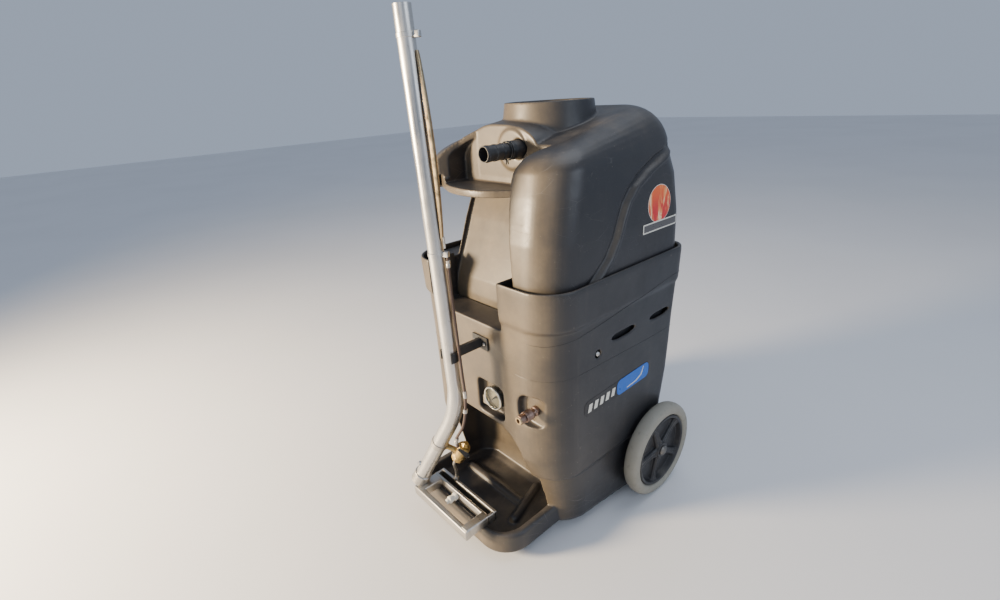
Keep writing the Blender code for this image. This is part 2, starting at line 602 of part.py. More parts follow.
def build_drain():
    point = DRAIN_AT
    profile = [(0.0045, -0.022), (0.0085, -0.022), (0.0085, 0.0035), (0.013, 0.0035), (0.013, 0.010),
               (0.0105, 0.012),
               (0.0105, 0.042), (0.009, 0.044), (0.009, 0.056), (0.0045, 0.056)]
    valve = lathe("drain_valve", profile, BRASS, point, (0, 1, 0), 20)
    stem = cylinder("stem", 0.004, 0.0090, 0.0165, BRASS, point + Vector((0, 0.027, 0)), (0, 0, 1), 14)
    join(valve, stem)
    pivot = point + Vector((0, 0.027, 0.0168))
    lever = block("drain_lever", pivot + Vector((-0.007, -0.007, 0)), pivot + Vector((0.007, 0.042,
            0.0025)), RED,
                  0.0008)
    lever.data.transform(Matrix.Translation(lever.location - pivot))
    lever.location = pivot


# ---------------------------------------------------------------- front fittings
def build_gauge():
    face = (GAUGE_X, GAUGE_SEAT_Y - GAP, GAUGE_Z)
    r = GAUGE_RADIUS
    lathe("gauge_case", [(0, 0.0), (r - 0.004, 0.0), (r - 0.0015, 0.003), (r - 0.0015, 0.0200), (r - 0.0035,
            0.0200),
                         (r - 0.0035, 0.0100), (0, 0.0100)], STEEL, face, (0, -1, 0), 36)
    lathe("gauge_dial", [(0, 0.0103), (r - 0.0040, 0.0103), (r - 0.0040, 0.0113), (0, 0.0113)], DIAL_WHITE,
          face,
          (0, -1, 0), 36)
    ring_solid("gauge_bezel", r - 0.0050, r, 0.0203, 0.0245, CHROME, face, (0, -1, 0), 36)
    lathe("gauge_lens", [(0, 0.0184), (r - 0.0040, 0.0184), (r - 0.0040, 0.0199), (0, 0.0199)], CLEAR, face,
          (0, -1, 0), 36)
    pivot = Vector(face) + Vector((0, -0.0140, 0))
    direction = Vector((sin(radians(-135)), 0, cos(radians(-135))))
    across = Vector((direction.z, 0, -direction.x))
    plan = ((-0.006, 0.0016), (0.000, 0.0022), (GAUGE_RADIUS - 0.0080, 0.0004))
    edge = [direction * along + across * half for along, half in plan]
    edge += [direction * along - across * half for along, half in reversed(plan)]
    rings = [[pivot + Vector((0, depth, 0)) + p for p in edge] for depth in (0.0006, -0.0006)]
    loft("gauge_needle", rings, RED, pivot)
    plate = [(0, 0), (0.010, -0.014), (0.036, -0.0168), (0.036, -0.0225), (-0.014, -0.0225), (-0.014, 0.0)]
    corner = Vector((GAUGE_X - GAUGE_RADIUS - 0.003, GAUGE_SEAT_Y - 0.012, GAUGE_Z - 0.014))
    rings = [[corner + Vector((x, y, z)) for x, z in plate] for y in (-0.002, 0.0)]
    bracket = loft("gauge_bracket", rings, BLACK_STEEL)
    join(bracket, block("bracket_leg", corner + Vector((-0.014, -0.002, -0.0225)),
                        Vector((corner.x - 0.012, GAUGE_SEAT_Y - GAP, corner.z)), BLACK_STEEL))


def build_coupler():
    seat = (COUPLER_X, COUPLER_SEAT_Y - GAP, COUPLER_Z)
    profile = [(0.0040, 0.0), (0.0115, 0.0), (0.0115, 0.008), (0.0085, 0.010), (0.0085, 0.0390), (0.0100,
            0.0405),
               (0.0100, 0.0545), (0.0090, 0.0555), (0.0040, 0.0555)]
    lathe("quick_coupler", profile, BRASS, seat, (0, -1, 0), 24)
    sleeve = [(0.0085 + GAP, 0.0165), (0.0118, 0.0165), (0.0123, 0.018), (0.0123, 0.0355), (0.0115, 0.0380),
              (0.0085 + GAP, 0.0380)]
    lathe("coupler_sleeve", sleeve, BRASS, seat, (0, -1, 0), 28)


def tube_point(z):
    """The wand tube's centre at a height."""
    share = (z - WAND_LOW.z) / (WAND_TOP.z - WAND_LOW.z)
    return WAND_LOW.lerp(WAND_TOP, share)


def build_clip():
    centre = tube_point(CLIP_Z)
    inner, outer = WAND_RADIUS + 0.0012, WAND_RADIUS + 0.0045
    inside = [Vector((inner * cos(radians(a)), inner * sin(radians(a)), 0)) for a in range(180, -1, -20)]
    outside = [Vector((outer * cos(radians(a)), outer * sin(radians(a)), 0)) for a in range(0, 181, 20)]
    tips_right = [Vector((inner, -0.010, 0)), Vector((inner + 0.0015, -0.012, 0)), Vector((outer, -0.010, 0))]
    tips_left = [Vector((-outer, -0.010, 0)), Vector((-inner - 0.0015, -0.012, 0)), Vector((-inner, -0.010,
            0))]
    edge = inside + tips_right + outside + tips_left
    rings = [[Vector((centre.x, centre.y, z)) + p for p in edge] for z in (CLIP_Z - 0.011, CLIP_Z + 0.011)]
    clip = loft("wand_clip", rings, BLACK_STEEL)
    arm = block("arm", (centre.x - 0.004, centre.y + outer - 0.0015, CLIP_Z - 0.011),
                (centre.x + 0.004, FRONT_Y - 0.0040, CLIP_Z + 0.011), BLACK_STEEL)
    foot = block("foot", (centre.x - 0.026, FRONT_Y - 0.0042, CLIP_Z - 0.016),
                 (centre.x + 0.026, FRONT_Y - 0.0012, CLIP_Z + 0.016), BLACK_STEEL, 0.0006)
    join(clip, arm, foot)
    for index, x in enumerate((centre.x - 0.016, centre.x + 0.016)):
        cylinder("clip_screw_%d" % (index + 1), 0.0045, 0.0003, 0.0030, STEEL, (x, FRONT_Y - 0.0042, CLIP_Z),
                 (0, -1, 0), 12, 0.0008)


# ---------------------------------------------------------------- recovery tank
def build_recovery_tank():
    tank = tank_form("recovery_tank")
    neck = lathe("neck_form", [(0, 0.88), (NECK_RADIUS + 0.002, 0.88), (NECK_RADIUS, 0.925),
                               (NECK_TOP_RADIUS, NECK_TOP_Z - 0.001), (NECK_TOP_RADIUS - 0.001, NECK_TOP_Z),
                               (0, NECK_TOP_Z)], BLACK_PE, (0, NECK_Y, 0), (0, 0, 1), 40)
    boss = lathe("boss_form", [(0, 0.0), (0.042, 0.0), (0.044, 0.006), (0.044, 0.075), (0, 0.075)], BLACK_PE,
                 (BARB_X - 0.022, ALCOVE_DEPTH_Y - 0.0012, BARB_Z - 0.002), (0, 1, 0), 30)
    join(tank, hood_form("hood_form"))
    cut(tank, recess_cutter("recess_cut"), corner_cutter("corner_cut"))
    cut(tank, alcove_cutter("alcove_cut"), hood_trim("trim_cut"))
    join(tank, neck, boss)
    inside = join(tank_form("tank_inside", WALL), hood_form("hood_inside", WALL))
    cut(inside, recess_cutter("recess_keep", WALL), corner_cutter("corner_keep", WALL))
    cut(inside, alcove_cutter("alcove_keep", WALL), hood_trim("trim_keep", WALL))
    cut(tank, inside)
    cut(tank, cylinder("barb_bore", 0.0190 + GAP, -0.10, 0.10, BLACK_PE, (BARB_X, -0.050, BARB_Z), (0, 1,
            0), 24))
    cut(tank, cylinder("pipe_bore", STANDPIPE_RADIUS + GAP, 0.44, 0.48, BLACK_PE, (STANDPIPE_X, STANDPIPE_Y,
            0)))
    cut(tank, cylinder("neck_bore", NECK_TOP_RADIUS - 0.005, 0.85, 1.05, BLACK_PE, (0, NECK_Y, 0), (0, 0,
            1), 40))


def build_tank_fittings():
    mouth, bore = BARB_MOUTH_RADIUS, BARB_BORE_RADIUS
    barb = [(bore, 0.0), (0.0190, 0.0), (0.0190, 0.030), (mouth, 0.034), (mouth - 0.0006, 0.060),
            (mouth + 0.0008, 0.078),
            (mouth - 0.0006, 0.080), (mouth + 0.0006, 0.098), (mouth, 0.106), (bore, 0.106)]
    lathe("hose_barb", barb, BLACK_HUB, (BARB_X, -0.040, BARB_Z), (0, -1, 0), 24)
    coil = []
    turns, per_turn, coil_radius = 1.9, 14, mouth + 0.0021
    for k in range(int(turns * per_turn) + 1):
        angle = 2 * pi * k / per_turn + radians(-110)
        coil.append(Vector((BARB_X + coil_radius * cos(angle), -0.082 - 0.0042 * k / per_turn,
                            BARB_Z + coil_radius * sin(angle))))
    first, last = coil[0], coil[-1]
    first_out, last_out = ((p - Vector((BARB_X, p.y, BARB_Z))).normalized() for p in (first, last))
    coil = [first + first_out * 0.0085 + Vector((0, 0.001, 0)), first + first_out * 0.004] + coil
    coil += [last + last_out * 0.004, last + last_out * 0.0085 + Vector((0, -0.001, 0))]
    rod_along("hose_clamp", coil, 0.0012, STEEL, 5)
    ring_solid("standpipe", STANDPIPE_RADIUS - 0.003, STANDPIPE_RADIUS, TANK_SEAT_Z + 0.0008, 0.800,
               BLACK_HUB,
               (STANDPIPE_X, STANDPIPE_Y, 0), (0, 0, 1), 20)
    cage = ring_solid("float_cage", STANDPIPE_RADIUS + GAP, 0.034, 0.760, 0.880, WHITE_PLASTIC,
                      (STANDPIPE_X, STANDPIPE_Y, 0), (0, 0, 1), 20)
    cut(cage, cylinder("cage_room", 0.0305, 0.8003, 0.876, WHITE_PLASTIC, (STANDPIPE_X, STANDPIPE_Y, 0)))
    for turn in (0, 60, 120):
        wide = block("window", (-0.006, -0.05, 0.806), (0.006, 0.05, 0.868), WHITE_PLASTIC)
        wide.data.transform(Matrix.Rotation(radians(turn), 4, "Z"))
        wide.location = (STANDPIPE_X, STANDPIPE_Y, 0.837)
        cut(cage, wide)
    radius = 0.0240
    profile = [(radius * sin(radians(a)), -radius * cos(radians(a))) for a in range(0, 181, 20)]
    profile[0], profile[-1] = (0, -radius), (0, radius)
    lathe("float_ball", profile, RED, (STANDPIPE_X, STANDPIPE_Y, 0.8006 + radius), (0, 0, 1), 16)


# ---------------------------------------------------------------- wand
def leg_path():
    """Centre line of the bent lower tube."""
    up = (WAND_TOP - WAND_LOW).normalized()
    bend, down = tube_point(BEND_Z), leg_direction()
    path = [tube_point(0.430)]
    for k in range(0, 9):
        share = k / 8
        a, b = bend + up * 0.055, bend + down * 0.060
        path.append((1 - share) ** 2 * a + 2 * share * (1 - share) * bend + share ** 2 * b)
    path.append(LEG_END - down * 0.012)
    return path


def build_wand():
    tube_along("wand_tube", [WAND_LOW, WAND_TOP], WAND_RADIUS, 0.0015, STEEL, 28)
    leg = tube_along("wand_leg", leg_path(), LEG_RADIUS, 0.0018, STEEL, 24)
    spot = LEG_END - leg_direction() * 0.075
    bolt = cylinder("leg_bolt", 0.0055, LEG_RADIUS - 0.001, LEG_RADIUS + 0.0085, STEEL, spot, (-0.646,
            -0.763, 0.0), 6,
                    0.001)
    return join(leg, bolt)


def build_wand_head():
    (x0, x1), (y0, y1) = HEAD_X, HEAD_Y
    z0, z1 = HEAD_Z - 0.0130, HEAD_Z + 0.0130
    head = block("wand_head", (x0, y1 - 0.030, z0), (x1, y1, z1), STEEL, 0.002)
    cut(head, block("mouth", (x0 + 0.006, y1 - 0.0215, z0 - 0.01), (x1 - 0.006, y1 - 0.0085, z1 + 0.01),
                    STEEL))
    front = block("front_bar", (x0, y0, z0), (x1, y0 + 0.014, z1), STEEL, 0.002)
    right = block("end_right", (x1 - 0.022, y0 + 0.004, z0 + 0.001), (x1 - 0.001, y1 - 0.024, z1 - 0.001),
                  STEEL)
    left = block("end_left", (x0 + 0.001, y0 + 0.004, z0 + 0.001), (x0 + 0.030, y1 - 0.024, z1 - 0.001),
                 STEEL)
    collar = ring_solid("leg_collar", LEG_RADIUS + 0.0005, LEG_RADIUS + 0.0030, -0.036, -0.004, STEEL,
                        LEG_END,
                        leg_direction(), 28)
    join(head, front, right, left, collar)
    jet = [(0, 0.0), (0.0095, 0.0), (0.0095, 0.018), (0.0070, 0.021), (0.0070, 0.030), (0.0030, 0.032), (0,
            0.032)]
    lathe("spray_jet", jet, WHITE_PLASTIC, (-0.012, HEAD_Y[1] - 0.0303, HEAD_Z + 0.001), (0, -1, 0), 20)


def leg_direction():
    return (LEG_END - tube_point(BEND_Z)).normalized()


def build_wand_valve():
    """Brass spray valve beside the leg, its lever, and the pipe down to the jet."""
    along = leg_direction()
    body = lathe("spray_valve", [(0, -0.036), (0.0065, -0.036), (0.0065, -0.025), (0.0140, -0.025), (0.0165,
            -0.022),
                                 (0.0165, 0.022), (0.0140, 0.025), (0, 0.025)], BRASS, VALVE_AT, along, 24)
    root = LEG_END + along * along.dot(VALVE_AT - LEG_END)
    arm_axis = (VALVE_AT - root).normalized()
    reach = (VALVE_AT - root).length
    join(body, cylinder("valve_arm", 0.0070, LEG_RADIUS + GAP, reach, BRASS, root, arm_axis, 16))
    foot = VALVE_AT + along * 0.0262
    landing = Vector((foot.x - 0.030, HEAD_Y[1] - 0.0040, HEAD_Z + 0.0130 + GAP * 2))
    path = smooth_path([foot, foot + along * 0.022, landing + Vector((0.004, 0, 0.030)), landing], 4)
    rod_along("jet_pipe", path, 0.0042, BRASS, 10)
    pivot = VALVE_AT + Vector((0.0262, 0.0, 0.004))
    tip = Vector((0.0, -0.024, 0.034))
    side = Vector((0.0, tip.z, -tip.y)).normalized() * 0.0045
    plan = (side * 1.3, tip + side * 0.7, tip - side * 0.7, -side * 1.3)
    rings = [[pivot + Vector((x, 0, 0)) + p for p in plan] for x in (0.0, 0.003)]
    lever = loft("valve_lever", rings, BLACK_STEEL, pivot)
    join(lever, cylinder("lever_pin", 0.0030, 0.0020, 0.0060, STEEL, pivot, (1, 0, 0), 12, 0.0006))


def pull_rings(up, away):
    """Channel section of the pull handle, carried along the tube and bowed out at its middle."""
    across = up.cross(away)
    section = ((-0.0062, 0.0), (-0.0062, 0.0075), (0.0062, 0.0075), (0.0062, 0.0), (0.0044, 0.0), (0.0044,
            0.0057),
               (-0.0044, 0.0057), (-0.0044, 0.0))
    rings, count = [], 10
    for k in range(count + 1):
        share = k / count
        centre = tube_point(PULL_LOW_Z + (PULL_TOP_Z - PULL_LOW_Z) * share)
        lift = WAND_RADIUS + 0.0012 + 0.0050 * sin(pi * share)
        rings.append([centre + across * t + away * (lift + n) for t, n in section])
    return rings


def build_trigger():
    """Pull handle along the tube, the lugs that guide it, and the cable that it pulls."""
    up = (WAND_TOP - WAND_LOW).normalized()
    away = ROD_OFFSET.normalized()
    handle = loft("trigger_rod", pull_rings(up, away), BRASS, tube_point(PULL_LOW_Z) + ROD_OFFSET)
    reach = WAND_RADIUS + 0.0082 - ROD_OFFSET.length
    rod_low, rod_top = tube_point(PULL_LOW_Z - 0.014), tube_point(PULL_LOW_Z + 0.006)
    join(handle, rod_along("rod_end", [rod_low + ROD_OFFSET + away * (reach - 0.0022),
                                       rod_top + ROD_OFFSET + away * (reach - 0.0022)], 0.0024, STEEL, 12))
    turn = Matrix.Rotation(-pi / 2 + away.to_2d().angle_signed(Vector((0.0, 1.0))) * -1 + pi / 2, 4, "Z")
    for name, z, wide, high in (("rod_guide", 1.112, 0.0050, 0.0060), ("cable_stop", 0.728, 0.0052, 0.0060)):
        lug = block(name, (-wide, WAND_RADIUS + GAP, -high), (wide, ROD_OFFSET.length + 0.0050, high),
                    STEEL, 0.0012)
        lug.data.transform(turn @ Matrix.Translation(lug.location))
        lug.location = tube_point(z)
        cut(lug, cylinder("eye_bore", 0.0028, -0.03, 0.03, STEEL, tube_point(z) + ROD_OFFSET, up, 12))
    route = [tube_point(0.7212) + ROD_OFFSET, tube_point(0.66) + ROD_OFFSET * 0.92,
             tube_point(0.56) + ROD_OFFSET * 0.92,
             tube_point(0.470) + Vector((0.030, 0.004, 0)), Vector((0.050, -0.252, 0.395)),
             Vector((0.048, -0.262, 0.335)), VALVE_AT + Vector((0.0330, -0.028, 0.075)),
             VALVE_AT + Vector((0.0277, -0.0255, 0.0450))]
    rod_along("cable_sheath", smooth_path(route, 3), 0.0034, RUBBER, 8)


def main():
    build_lower_body()
    build_base()
    build_wheels()
    build_motor_bay()
    build_rear_panel()
    build_drain()
    build_gauge()
    build_coupler()
    build_clip()
    build_recovery_tank()
    build_tank_fittings()
    build_wand()
    build_wand_head()
    build_wand_valve()
    build_trigger()


main()
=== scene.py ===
"""Carpet cleaner machine: the finished look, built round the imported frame."""
from math import atan2, cos, pi, radians, sin

import bmesh
import bpy
import numpy as np
from mathutils import Matrix, Vector
from mathutils.bvhtree import BVHTree


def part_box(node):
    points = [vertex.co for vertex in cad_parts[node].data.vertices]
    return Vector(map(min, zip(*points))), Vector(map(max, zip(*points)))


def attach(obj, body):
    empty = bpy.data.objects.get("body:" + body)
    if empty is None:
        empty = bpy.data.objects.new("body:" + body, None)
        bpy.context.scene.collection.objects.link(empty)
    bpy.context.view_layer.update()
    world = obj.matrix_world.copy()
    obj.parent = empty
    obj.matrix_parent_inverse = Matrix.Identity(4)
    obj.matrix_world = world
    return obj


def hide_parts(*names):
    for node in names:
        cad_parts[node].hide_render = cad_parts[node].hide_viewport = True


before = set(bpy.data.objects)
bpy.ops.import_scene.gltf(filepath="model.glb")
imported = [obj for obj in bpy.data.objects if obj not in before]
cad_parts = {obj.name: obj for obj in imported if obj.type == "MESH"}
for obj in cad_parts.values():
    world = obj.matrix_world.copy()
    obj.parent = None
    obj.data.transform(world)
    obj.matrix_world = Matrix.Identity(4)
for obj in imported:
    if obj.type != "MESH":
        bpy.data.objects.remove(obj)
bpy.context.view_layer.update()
ROOT = "machine"

# ---------------------------------------------------------------- driving sizes, metres
AXLE_LOW, AXLE_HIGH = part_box("axle")
AXLE = (AXLE_LOW + AXLE_HIGH) / 2
AXLE_Y = 0.195                     # the axle's place in the design's own frame
BACK = AXLE.y - AXLE_Y             # the design's own y = 0 lies this far along the row's y
WHEEL_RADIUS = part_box("tyre_left")[1].z / 2
WHEEL_WIDTH = 0.04
HUB_RADIUS = 0.098

RIM_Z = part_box("lower_body")[1].z
BODY_HALF = 0.233
FRONT = -0.17
SEAT_Z = 0.455
DECK_Z = 0.3
TOE_UNDER_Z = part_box("lower_body")[0].z
TOE_RIM_Z = 0.078
TOE_HALF = 0.18
TOE_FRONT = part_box("lower_body")[0].y - BACK

BAY_LEFT, BAY_RIGHT, PILLAR_LEFT = -0.155, 0.087, 0.104
SHELF_Z = 0.545
BAY_WALL = -0.093
HOOD_UNDER_Z, ALCOVE_FLOOR_Z, HOOD_TOP_Z, ALCOVE_DEPTH = 0.812, 0.828, 0.95, -0.048
PILLAR_LEAN = 0.125                # the pillar's left face moves outwards as it goes down
NECK = Vector((0.0, 0.087, 0.0))
NECK_RADIUS, NECK_TOP_RADIUS = 0.1085, 0.0995
NECK_TOP_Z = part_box("recovery_tank")[1].z
DECK_SLOPE, SHOULDER_Z, SHOULDER_RADIUS = 0.24, 0.868, 0.078
BARB_LOW, BARB_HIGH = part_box("hose_barb")
BARB = Vector(((BARB_LOW.x + BARB_HIGH.x) / 2, 0.0, (BARB_LOW.z + BARB_HIGH.z) / 2))
PIPE = Vector((-0.085, 0.12, 0.0))   # the vacuum duct's upright axis
DRAIN_Z = 0.332
BOLT_PLACE = (-0.021, 0.482)       # y and z of the anchor bolts
SIDES = ((-1, "left"), (1, "right"))
SHELL = 0.0065                     # drawn wall of the mouldings
VOXEL = 0.0024


# ---------------------------------------------------------------- shading
class Shader:
    """A Principled material with a few node helpers."""

    def __init__(self, name, colour, roughness, metallic=0.0, **sockets):
        self.material = bpy.data.materials.new(name)
        self.material.use_nodes = True
        self.tree = self.material.node_tree
        self.bsdf = self.tree.nodes["Principled BSDF"]
        self.bsdf.inputs["Base Color"].default_value = (*colour, 1.0)
        self.bsdf.inputs["Roughness"].default_value = roughness
        self.bsdf.inputs["Metallic"].default_value = metallic
        for socket, value in sockets.items():
            self.bsdf.inputs[socket.replace("_", " ")].default_value = value
        self.place = self.tree.nodes.new("ShaderNodeTexCoord").outputs["Object"]
        self.colour = self.constant(colour)
        self.height = None

    def feed(self, socket, value):
        if hasattr(value, "is_linked"):
            self.tree.links.new(value, socket)
        else:
            socket.default_value = value

    def constant(self, colour):
        node = self.tree.nodes.new("ShaderNodeRGB")
        node.outputs[0].default_value = (*colour, 1.0)
        return node.outputs[0]

    def node(self, kind, **values):
        """A new node. A value may be another node's output, and _ stands for a space in a socket's name."""
        node = self.tree.nodes.new("ShaderNode" + kind)
        for name, value in values.items():
            self.feed(node.inputs[name.replace("_", " ")], value)
        return node

    def stretched(self, scale, turn=(0.0, 0.0, 0.0)):
        return self.node("Mapping", Scale=scale, Rotation=turn, Vector=self.place).outputs[0]

    def noise(self, scale, detail=4.0, rough=0.55, distortion=0.0, at=None):
        return self.node("TexNoise", Scale=scale, Detail=detail, Roughness=rough, Distortion=distortion,
                         Vector=at or self.place).outputs["Fac"]

    def cracks(self, scale, at=None):
        node = self.node("TexVoronoi", Scale=scale, Vector=at or self.place)
        node.feature = "DISTANCE_TO_EDGE"
        return node.outputs["Distance"]

    def span(self, value, low, high, to_low=0.0, to_high=1.0):
        node = self.node("MapRange", From_Min=low, From_Max=high, To_Min=to_low, To_Max=to_high,
            Value=value)
        node.interpolation_type = "SMOOTHSTEP"
        return node.outputs["Result"]

    def math(self, operation, a, b=0.0):
        node = self.tree.nodes.new("ShaderNodeMath")
        node.operation = operation
        self.feed(node.inputs[0], a)
        self.feed(node.inputs[1], b)
        return node.outputs[0]

    def axis(self, name, source="position"):
        node = self.tree.nodes.new("ShaderNodeSeparateXYZ")
        if source == "normal":
            vector = self.tree.nodes.new("ShaderNodeNewGeometry").outputs["Normal"]
        else:
            vector = self.place
        self.tree.links.new(vector, node.inputs[0])
        return node.outputs[name]

    def tint(self, amount, colour):
        """Mixes a colour over what is there, by a mask."""
        node = self.tree.nodes.new("ShaderNodeMix")
        node.data_type = "RGBA"
        self.feed(node.inputs["Factor"], amount)
        self.tree.links.new(self.colour, node.inputs["A"])
        node.inputs["B"].default_value = (*colour, 1.0)
        self.colour = node.outputs["Result"]
        return self

    def rough(self, value):
        self.tree.links.new(value, self.bsdf.inputs["Roughness"])
        return self

    def bump(self, height, strength, distance):
        node = self.node("Bump", Strength=strength, Distance=distance, Height=height)
        if self.height is not None:
            self.tree.links.new(self.height, node.inputs["Normal"])
        self.height = node.outputs["Normal"]
        return self

    def done(self):
        self.tree.links.new(self.colour, self.bsdf.inputs["Base Color"])
        if self.height is not None:
            self.tree.links.new(self.height, self.bsdf.inputs["Normal"])
        return self.material


def moulded_plastic(name, colour=(0.022, 0.022, 0.025), wear_and_sun_tint=1.0, base_rough=0.4):
    """Rotomoulded polyethylene: satin, scuffed, dusty on top, with pale scratches; its front faces carry a
    warm beige tint that is partly real fading and partly painted sunlight.
    """
    s = Shader(name, colour, base_rough)
    s.tint(s.span(s.noise(4.0, 3.0), 0.4, 0.75, 0.0, 0.5), (0.036, 0.034, 0.034))
    facing_up = s.span(s.axis("Z", "normal"), 0.25, 0.95)
    dust = s.math("MULTIPLY", facing_up, s.span(s.noise(16.0, 6.0, 0.7), 0.38, 0.8, 0.1, 0.62))
    s.tint(s.math("MULTIPLY", dust, 0.75 * wear_and_sun_tint), (0.15, 0.122, 0.092))
    # Warm beige on the front-facing faces: partly real sun-fading, partly painted sunlight falling on the
    # front; the wear amount scales this painted light too.
    front = s.span(s.axis("Y", "normal"), -0.25, -0.95)
    faded_and_sunlit_front = s.math("MULTIPLY", front, s.span(s.noise(6.0, 5.0, 0.7), 0.25, 0.8, 0.3, 0.85))
    s.tint(s.math("MULTIPLY", faded_and_sunlit_front, 0.78 * wear_and_sun_tint), (0.2, 0.152, 0.092))
    runs = s.span(s.noise(1.0, 5.0, 0.65, at=s.stretched((26.0, 26.0, 2.2))), 0.56, 0.82, 0.0, 0.3 * wear_and_sun_tint)
    s.tint(runs, (0.085, 0.072, 0.058))
    patch = s.span(s.noise(7.0, 5.0, 0.7, 0.6), 0.52, 0.7)
    lines = s.span(s.cracks(13.0, s.stretched((1.0, 1.0, 2.6), (0.5, 0.3, 0.2))), 0.0, 0.01, 1.0, 0.0)
    scratch = s.math("MULTIPLY", lines, patch)
    s.tint(s.math("MULTIPLY", scratch, 0.55 * wear_and_sun_tint), (0.2, 0.19, 0.18))
    fine = s.span(s.cracks(41.0, s.stretched((1.0, 2.0, 1.0), (0.2, 0.9, 0.4))), 0.0, 0.012, 1.0, 0.0)
    fine = s.math("MULTIPLY", fine, s.span(s.noise(12.0, 3.0), 0.56, 0.66))
    s.tint(s.math("MULTIPLY", fine, 0.3 * wear_and_sun_tint), (0.16, 0.15, 0.15))
    specks = s.span(s.noise(150.0, 2.0), 0.7, 0.76, 0.0, 0.4 * wear_and_sun_tint)
    s.tint(specks, (0.17, 0.15, 0.12))
    s.rough(s.math("ADD", s.span(s.noise(9.0, 6.0, 0.7), 0.3, 0.8, base_rough - 0.07, base_rough + 0.13),
                   s.math("MULTIPLY", dust, 0.25)))
    s.bump(s.noise(5.0, 2.0), 0.35, 0.003)
    s.bump(s.noise(620.0, 2.0), 0.1, 0.0006)
    s.bump(s.math("MULTIPLY", scratch, -1.0), 0.25, 0.0008)
    return s.done()


def worn(name, colour, roughness, tints, rough, bumps, metallic=0.0, **sockets):
    """A used surface: patches of other tones, a span of roughness and fine bumps, each driven by noise.

    A tint is (noise, low, high, amount, tone), the roughness (noise, low, high, smooth, rough) and a
    bump (noise, strength, distance). A noise is (scale, detail) with its roughness where it matters.
    """
    s = Shader(name, colour, roughness, metallic, **sockets)
    for noise, low, high, amount, tone in tints:
        s.tint(s.span(s.noise(*noise), low, high, 0.0, amount), tone)
    s.rough(s.span(s.noise(*rough[0]), *rough[1:]))
    for noise, strength, distance in bumps:
        s.bump(s.noise(*noise), strength, distance)
    return s.done()


def steel(name, colour=(0.6, 0.585, 0.555), grain=(260.0, 260.0, 3.0), low=0.22, high=0.42):
    """Brushed metal: streaks along the long way of the piece, with handling marks."""
    s = Shader(name, colour, 0.3, 1.0)
    streak = s.noise(1.0, 6.0, 0.7, at=s.stretched(grain))
    s.tint(s.span(streak, 0.35, 0.75, 0.0, 0.35), tuple(0.72 * c for c in colour))
    s.tint(s.span(s.noise(18.0, 5.0, 0.7, 0.5), 0.5, 0.8, 0.0, 0.35), (0.33, 0.3, 0.255))
    s.tint(s.span(s.noise(140.0, 3.0), 0.66, 0.75, 0.0, 0.45), (0.2, 0.175, 0.145))
    s.rough(s.math("ADD", s.span(streak, 0.3, 0.7, low, high), s.span(s.noise(11.0, 4.0), 0.45, 0.8, 0.0,
        0.14)))
    s.bump(streak, 0.06, 0.0005)
    s.bump(s.noise(40.0, 3.0), 0.05, 0.0008)
    return s.done()


def brass(name, colour=(0.56, 0.4, 0.155), tarnish=(0.2, 0.125, 0.06)):
    tints = [((45.0, 6.0, 0.7), 0.4, 0.72, 0.7, tarnish),
             ((210.0, 3.0), 0.62, 0.75, 0.5, (0.1, 0.075, 0.045))]
    return worn(name, colour, 0.32, tints, ((60.0, 5.0), 0.3, 0.75, 0.26, 0.58),
                [((420.0, 3.0), 0.1, 0.0005)], 1.0)


def pale_plastic(name, colour, roughness=0.45):
    tone = tuple(0.68 * c for c in colour)
    return worn(name, colour, roughness, [((60.0, 5.0, 0.7), 0.45, 0.78, 0.35, tone)],
                ((40.0, 4.0), 0.3, 0.7, roughness - 0.08, roughness + 0.12), [((500.0, 2.0), 0.08, 0.0005)])


def strip_print(name, colour):
    tone = tuple(0.5 * c + 0.02 for c in colour)
    return worn(name, colour, 0.32, [((90.0, 4.0, 0.7), 0.55, 0.8, 0.45, tone)],
                ((50.0, 4.0), 0.3, 0.7, 0.26, 0.46), [((500.0, 2.0), 0.05, 0.0004)])


def sun_badge():
    """A plain round sticker: warm colours running into each other, with no picture on it."""
    s = Shader("badge_warm", (0.62, 0.03, 0.035), 0.35)
    s.tint(s.span(s.axis("Z"), 0.752, 0.812, 0.0, 0.85), (0.85, 0.16, 0.03))
    rays = s.noise(1.0, 3.0, 0.6, 0.8, s.stretched((60.0, 60.0, 16.0)))
    s.tint(s.span(rays, 0.5, 0.6, 0.0, 0.7), (0.9, 0.34, 0.1))
    s.tint(s.span(rays, 0.6, 0.68, 0.0, 0.8), (0.95, 0.72, 0.45))
    s.tint(s.span(s.noise(120.0, 4.0), 0.6, 0.75, 0.0, 0.4), (0.42, 0.2, 0.15))
    s.bump(s.noise(500.0, 2.0), 0.05, 0.0004)
    return s.done()


BLACK_PE = moulded_plastic("moulded_black")
DUCT_PE = moulded_plastic("duct_black", wear_and_sun_tint=0.4)
HUB = worn("hub_plastic", (0.016, 0.016, 0.018), 0.42,
           [((22.0, 5.0, 0.7), 0.45, 0.75, 0.45, (0.075, 0.066, 0.055)),
            ((180.0, 2.0), 0.66, 0.74, 0.35, (0.14, 0.13, 0.11))],
           ((14.0, 4.0), 0.3, 0.7, 0.34, 0.6), [((380.0, 2.0), 0.12, 0.0006)])
TYRE = worn("tyre_grey", (0.285, 0.27, 0.225), 0.72,
            [((9.0, 5.0, 0.65), 0.35, 0.75, 0.55, (0.205, 0.194, 0.16)),
             ((60.0, 4.0, 0.7), 0.55, 0.75, 0.45, (0.11, 0.103, 0.086)),
             ((240.0, 2.0), 0.66, 0.75, 0.4, (0.3, 0.28, 0.24))],
            ((30.0, 4.0), 0.3, 0.7, 0.6, 0.85), [((300.0, 3.0), 0.25, 0.001), ((26.0, 4.0), 0.18, 0.002)])
TUBE_STEEL = steel("tube_steel")
